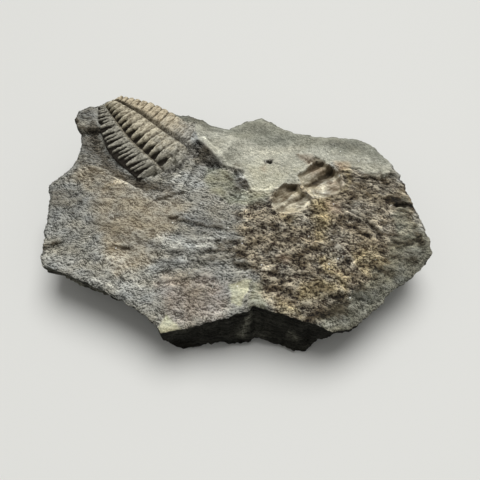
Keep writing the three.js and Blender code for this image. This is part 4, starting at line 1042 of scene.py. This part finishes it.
class Shader:
    """A material's node tree, built one node at a time."""

    def __init__(self, name):
        self.material = bpy.data.materials.new(name)
        self.material.use_nodes = True
        self.tree = self.material.node_tree

    def add(self, kind, inputs, output=0, **settings):
        """A node with inputs by their names or in their order, and one of its outputs."""
        node = self.tree.nodes.new("ShaderNode" + kind)
        for name, value in settings.items():
            setattr(node, name, value)
        for socket, value in inputs.items() if isinstance(inputs, dict) else enumerate(inputs):
            self.plug(node.inputs[socket], value)
        return Value(self, node.outputs[output])

    def plug(self, socket, value):
        if isinstance(value, Value):
            self.tree.links.new(value.socket, socket)
        else:
            socket.default_value = (*value, 1) if socket.type == "RGBA" else value

    def attribute(self, name):
        return self.add("Attribute", {}, "Fac", attribute_name=name)

    def mix(self, share, low, high, how="MIX"):
        return self.add("Mix", {0: share, 6: low, 7: high}, 2, data_type="RGBA", blend_type=how)

    def maths(self, operation, a, b):
        return self.add("Math", [a, b], operation=operation)

    def place(self):
        """The place on the piece in millimetres."""
        return self.squeezed(self.add("TexCoord", {}, "Object"), MM)

    def squeezed(self, place, size, stretch=(1, 1, 1)):
        """Places in units of this size."""
        return self.add("Mapping", {"Vector": place, "Scale": tuple(part / size for part in stretch)})

    def turned(self, place, degrees):
        return self.add("Mapping", {"Vector": place, "Rotation": (0, 0, math.radians(degrees))})

    def noise(self, place, size, detail, roughness, stretch=(1, 1, 1)):
        """Noise about size millimetres across."""
        place = self.squeezed(place, size, stretch)
        return self.add("TexNoise", {"Vector": place, "Scale": 1, "Detail": detail, "Roughness": roughness})

    def bent(self, place, size, distance):
        """Places moved about by up to this far, in swirls of this size, so that streaks wander."""
        swirl = self.add("TexNoise", {"Vector": self.squeezed(place, size), "Scale": 1, "Detail": 1}, "Color")
        return self.add("VectorMath", [swirl, (distance,) * 3, place], operation="MULTIPLY_ADD")

    def cells(self, place, size, stretch=(1, 1, 1)):
        """How far places are from the middle of their cell, and a number from 0 to 1 for each cell."""
        distance = self.add("TexVoronoi", {"Vector": self.squeezed(place, size, stretch), "Scale": 1})
        return distance, self.add("SeparateColor", [distance.other("Color")])

    def spots(self, place, size, radius, rarity):
        """1 in small spots, at most one in each cell of this size in millimetres, 0 elsewhere."""
        distance, chance = self.cells(place, size)
        return self.maths("LESS_THAN", distance, radius) * self.maths("GREATER_THAN", chance, rarity)

    def bump(self, height, distance, normal=None):
        sockets = {"Height": height, "Distance": distance * MM, "Strength": 1}
        return self.add("Bump", {**sockets, "Normal": normal} if normal else sockets)

    def finish(self, sockets):
        """Plugs values into the surface, and gives the finished material."""
        for name, value in sockets.items():
            self.plug(self.tree.nodes["Principled BSDF"].inputs[name], value)
        return self.material


# The rock's colours in the dark and the light of its grain, between the marked kinds of rock and on
# the broken sides, whose very dark colours are partly painted shade on the front face, a cool and a
# warm tint, what dark places are multiplied by, and bright specks.
PLAIN_COLOURS = ((0.05, 0.049, 0.042), (0.54, 0.53, 0.48))
SIDE_COLOURS = ((0.0022, 0.0021, 0.0011), (0.05, 0.049, 0.039))
TINTS = ((0.96, 1, 1.04), (1.04, 1, 0.9))
BROWN = (1, 0.87, 0.72)
WHITE = (1, 1, 1)
GLINT = (0.85, 0.85, 0.8)
# The size of the grain's facets, and how far they are bent.
FACET_SIZE = 0.85
FACET_BEND = 0.765


def slab_material():
    """Dull shale: each kind of rock has its own grain colours, and hollows of the grain are darker with
    painted shade.
    """
    shader = Shader("shale")
    place = shader.place()
    names = ("crust", "smooth", "clotted", "relief", "hue", "side", "shade")
    crust, even, clotted, relief, hue, side, shade = (shader.attribute(name) for name in names)
    slanted = shader.turned(shader.bent(place, 8, 5), 10)
    behind = shader.add("Mapping", {"Vector": slanted, "Location": (0.03, 0.22, 0)})
    fine = shader.noise(place, 0.26, 2, 0.6)
    streaks, farther = (shader.noise(where, 0.56, 4, 0.75, (0.72, 1, 1)) for where in (slanted, behind))
    specks = shader.noise(place, 0.54, 3, 0.75, (0.8, 1, 1))
    coarse = shader.noise(slanted, 0.9, 3, 0.65, (0.6, 1, 1))
    facets = shader.cells(shader.bent(slanted, FACET_SIZE, FACET_BEND), FACET_SIZE, (0.65, 1, 1))[1]
    bedding = shader.noise(place, 1.1, 4, 0.65, (0.12, 0.12, 1.6))

    grain = fine.ranged(0.38, 0.62, -0.48, 0.48) * crust.ranged(0, 1, 1, 0.75)
    grain += streaks.ranged(0.35, 0.65, 0.15, 0.85)
    grain += specks.ranged(0.4, 0.62, -0.8, 0.62) * clotted.ranged(0.3, 1)
    grain += facets.ranged(0, 1, -0.32, 0.32)
    lit = (streaks - farther).ranged(-0.105, 0.105, -0.68, 0.68)
    grain += lit * even.ranged(0, 1, 1, 0.45) * crust.ranged(0, 1, 1, 0.6)
    grain += coarse.ranged(0.38, 0.62, -0.4, 0.4) * clotted
    # Painted shade and highlight: the relief's hollows are darker and its bumps lighter.
    grain += relief.ranged(-0.2, 0.2, -0.45, 0.45)
    grain = grain.ranged(-0.15, 1.15)

    colour = shader.mix(grain, *PLAIN_COLOURS)
    for name, zone in ZONES.items():
        colour = shader.mix(shader.attribute(name), colour, shader.mix(grain, zone.dark, zone.light))
    colour = shader.mix(1, colour, shader.mix(hue.ranged(-0.7, 0.7), *TINTS), "MULTIPLY")
    split = (grain * 0.6 + bedding.ranged(0.35, 0.65, -0.15, 0.55)).ranged(0, 1)
    colour = shader.mix(side, colour, shader.mix(split, *SIDE_COLOURS))
    colour = shader.add("VectorMath", {0: colour, "Scale": shade}, operation="SCALE")
    colour = shader.mix(1, colour, shader.mix(shade.ranged(0.2, 0.7), BROWN, WHITE), "MULTIPLY")
    sparkle = shader.spots(place, 1.3, 0.16, 0.96) * shade.ranged(0.7, 0.8) * side.ranged(0, 0.1, 1, 0)
    glitter = shader.spots(place, 0.8, 0.17, 0.94) * even * 0.7
    colour = shader.mix(shader.maths("MAXIMUM", sparkle, glitter), colour, GLINT)
    normal = shader.bump(bedding * side, 1.2, shader.bump(fine, 0.12))
    return shader.finish({
        "Base Color": colour,
        "Roughness": fine.ranged(0.2, 0.8, 0.72, 0.98),
        "Specular IOR Level": side.ranged(0, 1, 0.3, 0.08),
        "Normal": shader.bump(streaks, 0.25, normal),
    })


# The shell's colours in the dark and the light of its grain, and the colour of the dirt and painted shade in
# its furrows and gaps.
SHELL_COLOURS = {
    "buff": ((0.24, 0.2, 0.135), (0.78, 0.715, 0.54)),
    "tan": ((0.29, 0.235, 0.15), (0.78, 0.68, 0.49)),
    "ashy": ((0.15, 0.142, 0.11), (0.52, 0.495, 0.41)),
    "grey": ((0.18, 0.17, 0.13), (0.66, 0.635, 0.54)),
    "rock": ((0.12, 0.115, 0.1), (0.55, 0.535, 0.475)),
}
DIRT_AND_SHADE = (0.017, 0.012, 0.007)


def fossil_material():
    """Buff fossil shell, tan on the right, grey on the left (partly painted shade) and towards the head,
    darkened in its furrows and gaps by dirt and painted shade.
    """
    shader = Shader("buff_fossil")
    place = shader.place()
    names = ("relief", "side", "age", "worn", "hollow")
    relief, side, age, worn, hollow = (shader.attribute(name) for name in names)
    along_ribs = shader.turned(place, -47)
    fine = shader.noise(along_ribs, 0.45, 3, 0.7, (0.4, 1, 1))
    mottled = shader.noise(along_ribs, 1.2, 3, 0.7, (0.6, 1, 1))
    coarse = shader.noise(place, 2.5, 3, 0.6)
    # Painted shade and highlight: the relief's hollows are darker and its bumps lighter.
    grain = fine.ranged(0.36, 0.64) + relief.ranged(-0.2, 0.2, -0.35, 0.35)
    grain = (grain + mottled.ranged(0.38, 0.62, -0.4, 0.3)).ranged(0, 1)
    shell = {name: shader.mix(grain, *colours) for name, colours in SHELL_COLOURS.items()}
    colour = shader.mix(side.ranged(-0.3, -0.6), shell["buff"], shell["tan"])
    # The left flank faces away from the light: its ashy grey is partly its own colour and partly painted
    # shade.
    colour = shader.mix(side.ranged(0.35, 0.5), colour, shell["ashy"])
    towards_head = (age + coarse.ranged(0.3, 0.7, -0.2, 0.2)).ranged(0.55, 0.95, 0, 0.85)
    colour = shader.mix(towards_head * side.ranged(0.35, 0.5, 1, 0), colour, shell["grey"])
    colour = shader.mix(worn, colour, shell["rock"])
    dirt_and_shade = hollow * fine.ranged(0.25, 0.6, 1, 0.8)
    return shader.finish({
        "Base Color": shader.mix(dirt_and_shade.ranged(0.08, 0.6, 0, 0.97), colour, DIRT_AND_SHADE),
        "Roughness": fine.ranged(0.2, 0.8, 0.65, 0.95),
        "Specular IOR Level": 0.35,
        "Normal": shader.bump(mottled, 0.5, shader.bump(fine, 0.2)),
    })


# The floor, its size in metres, the direction of the sun, its strength and softness in degrees, and
# the sky.
FLOOR_SIZE = 4
FLOOR_COLOUR = (0.78, 0.78, 0.75)
SUN_TOWARDS = (0.1, 0.5, 1)
SUN_STRENGTH = 2.3
SUN_SOFTNESS = 45
SKY_COLOUR = (1, 1, 0.98, 1)
SKY_STRENGTH = 0.28


def build_stage():
    """A plain pale floor, a soft light from above and behind, and a pale sky."""
    scene = bpy.context.scene
    bpy.ops.mesh.primitive_plane_add(size=FLOOR_SIZE)
    floor = bpy.context.object
    floor.name = "pale_floor"
    floor.data.materials.append(Shader("pale_floor").finish({"Base Color": FLOOR_COLOUR, "Roughness": 0.6}))

    light = bpy.data.lights.new("window_light", "SUN")
    light.energy = SUN_STRENGTH
    light.angle = math.radians(SUN_SOFTNESS)
    lamp = bpy.data.objects.new("window_light", light)
    x, y, z = SUN_TOWARDS
    lamp.rotation_euler = (math.atan2(math.hypot(x, y), z), 0, math.atan2(x, -y))
    scene.collection.objects.link(lamp)

    scene.world = bpy.data.worlds.new("pale_sky")
    scene.world.use_nodes = True
    sky = scene.world.node_tree.nodes["Background"].inputs
    sky["Color"].default_value = SKY_COLOUR
    sky["Strength"].default_value = SKY_STRENGTH
    scene.view_settings.view_transform = "Standard"


# The camera's place in millimetres, how far from straight down it looks, in degrees, and its lens.
CAMERA_PLACE = (2, -89.6, 152)
CAMERA_TILT = 30
CAMERA_LENS = 42.15
CAMERA_SENSOR = 36


def build_camera():
    """The photograph's view: from the front, looking down by 60 degrees."""
    camera = bpy.data.objects.new("camera", bpy.data.cameras.new("camera"))
    camera.location = tuple(part * MM for part in CAMERA_PLACE)
    camera.rotation_euler = (math.radians(CAMERA_TILT), 0, 0)
    camera.data.lens = CAMERA_LENS
    camera.data.sensor_width = CAMERA_SENSOR
    camera.data.clip_start = 5 * MM
    bpy.context.scene.collection.objects.link(camera)
    bpy.context.scene.camera = camera


build_camera()
slab = build_slab()
slab.data.materials.append(slab_material())
fossil = build_fossil()
fossil.data.materials.append(fossil_material())
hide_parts("fossil_slab")
for piece in (slab, fossil):
    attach(piece, "root")
build_stage()
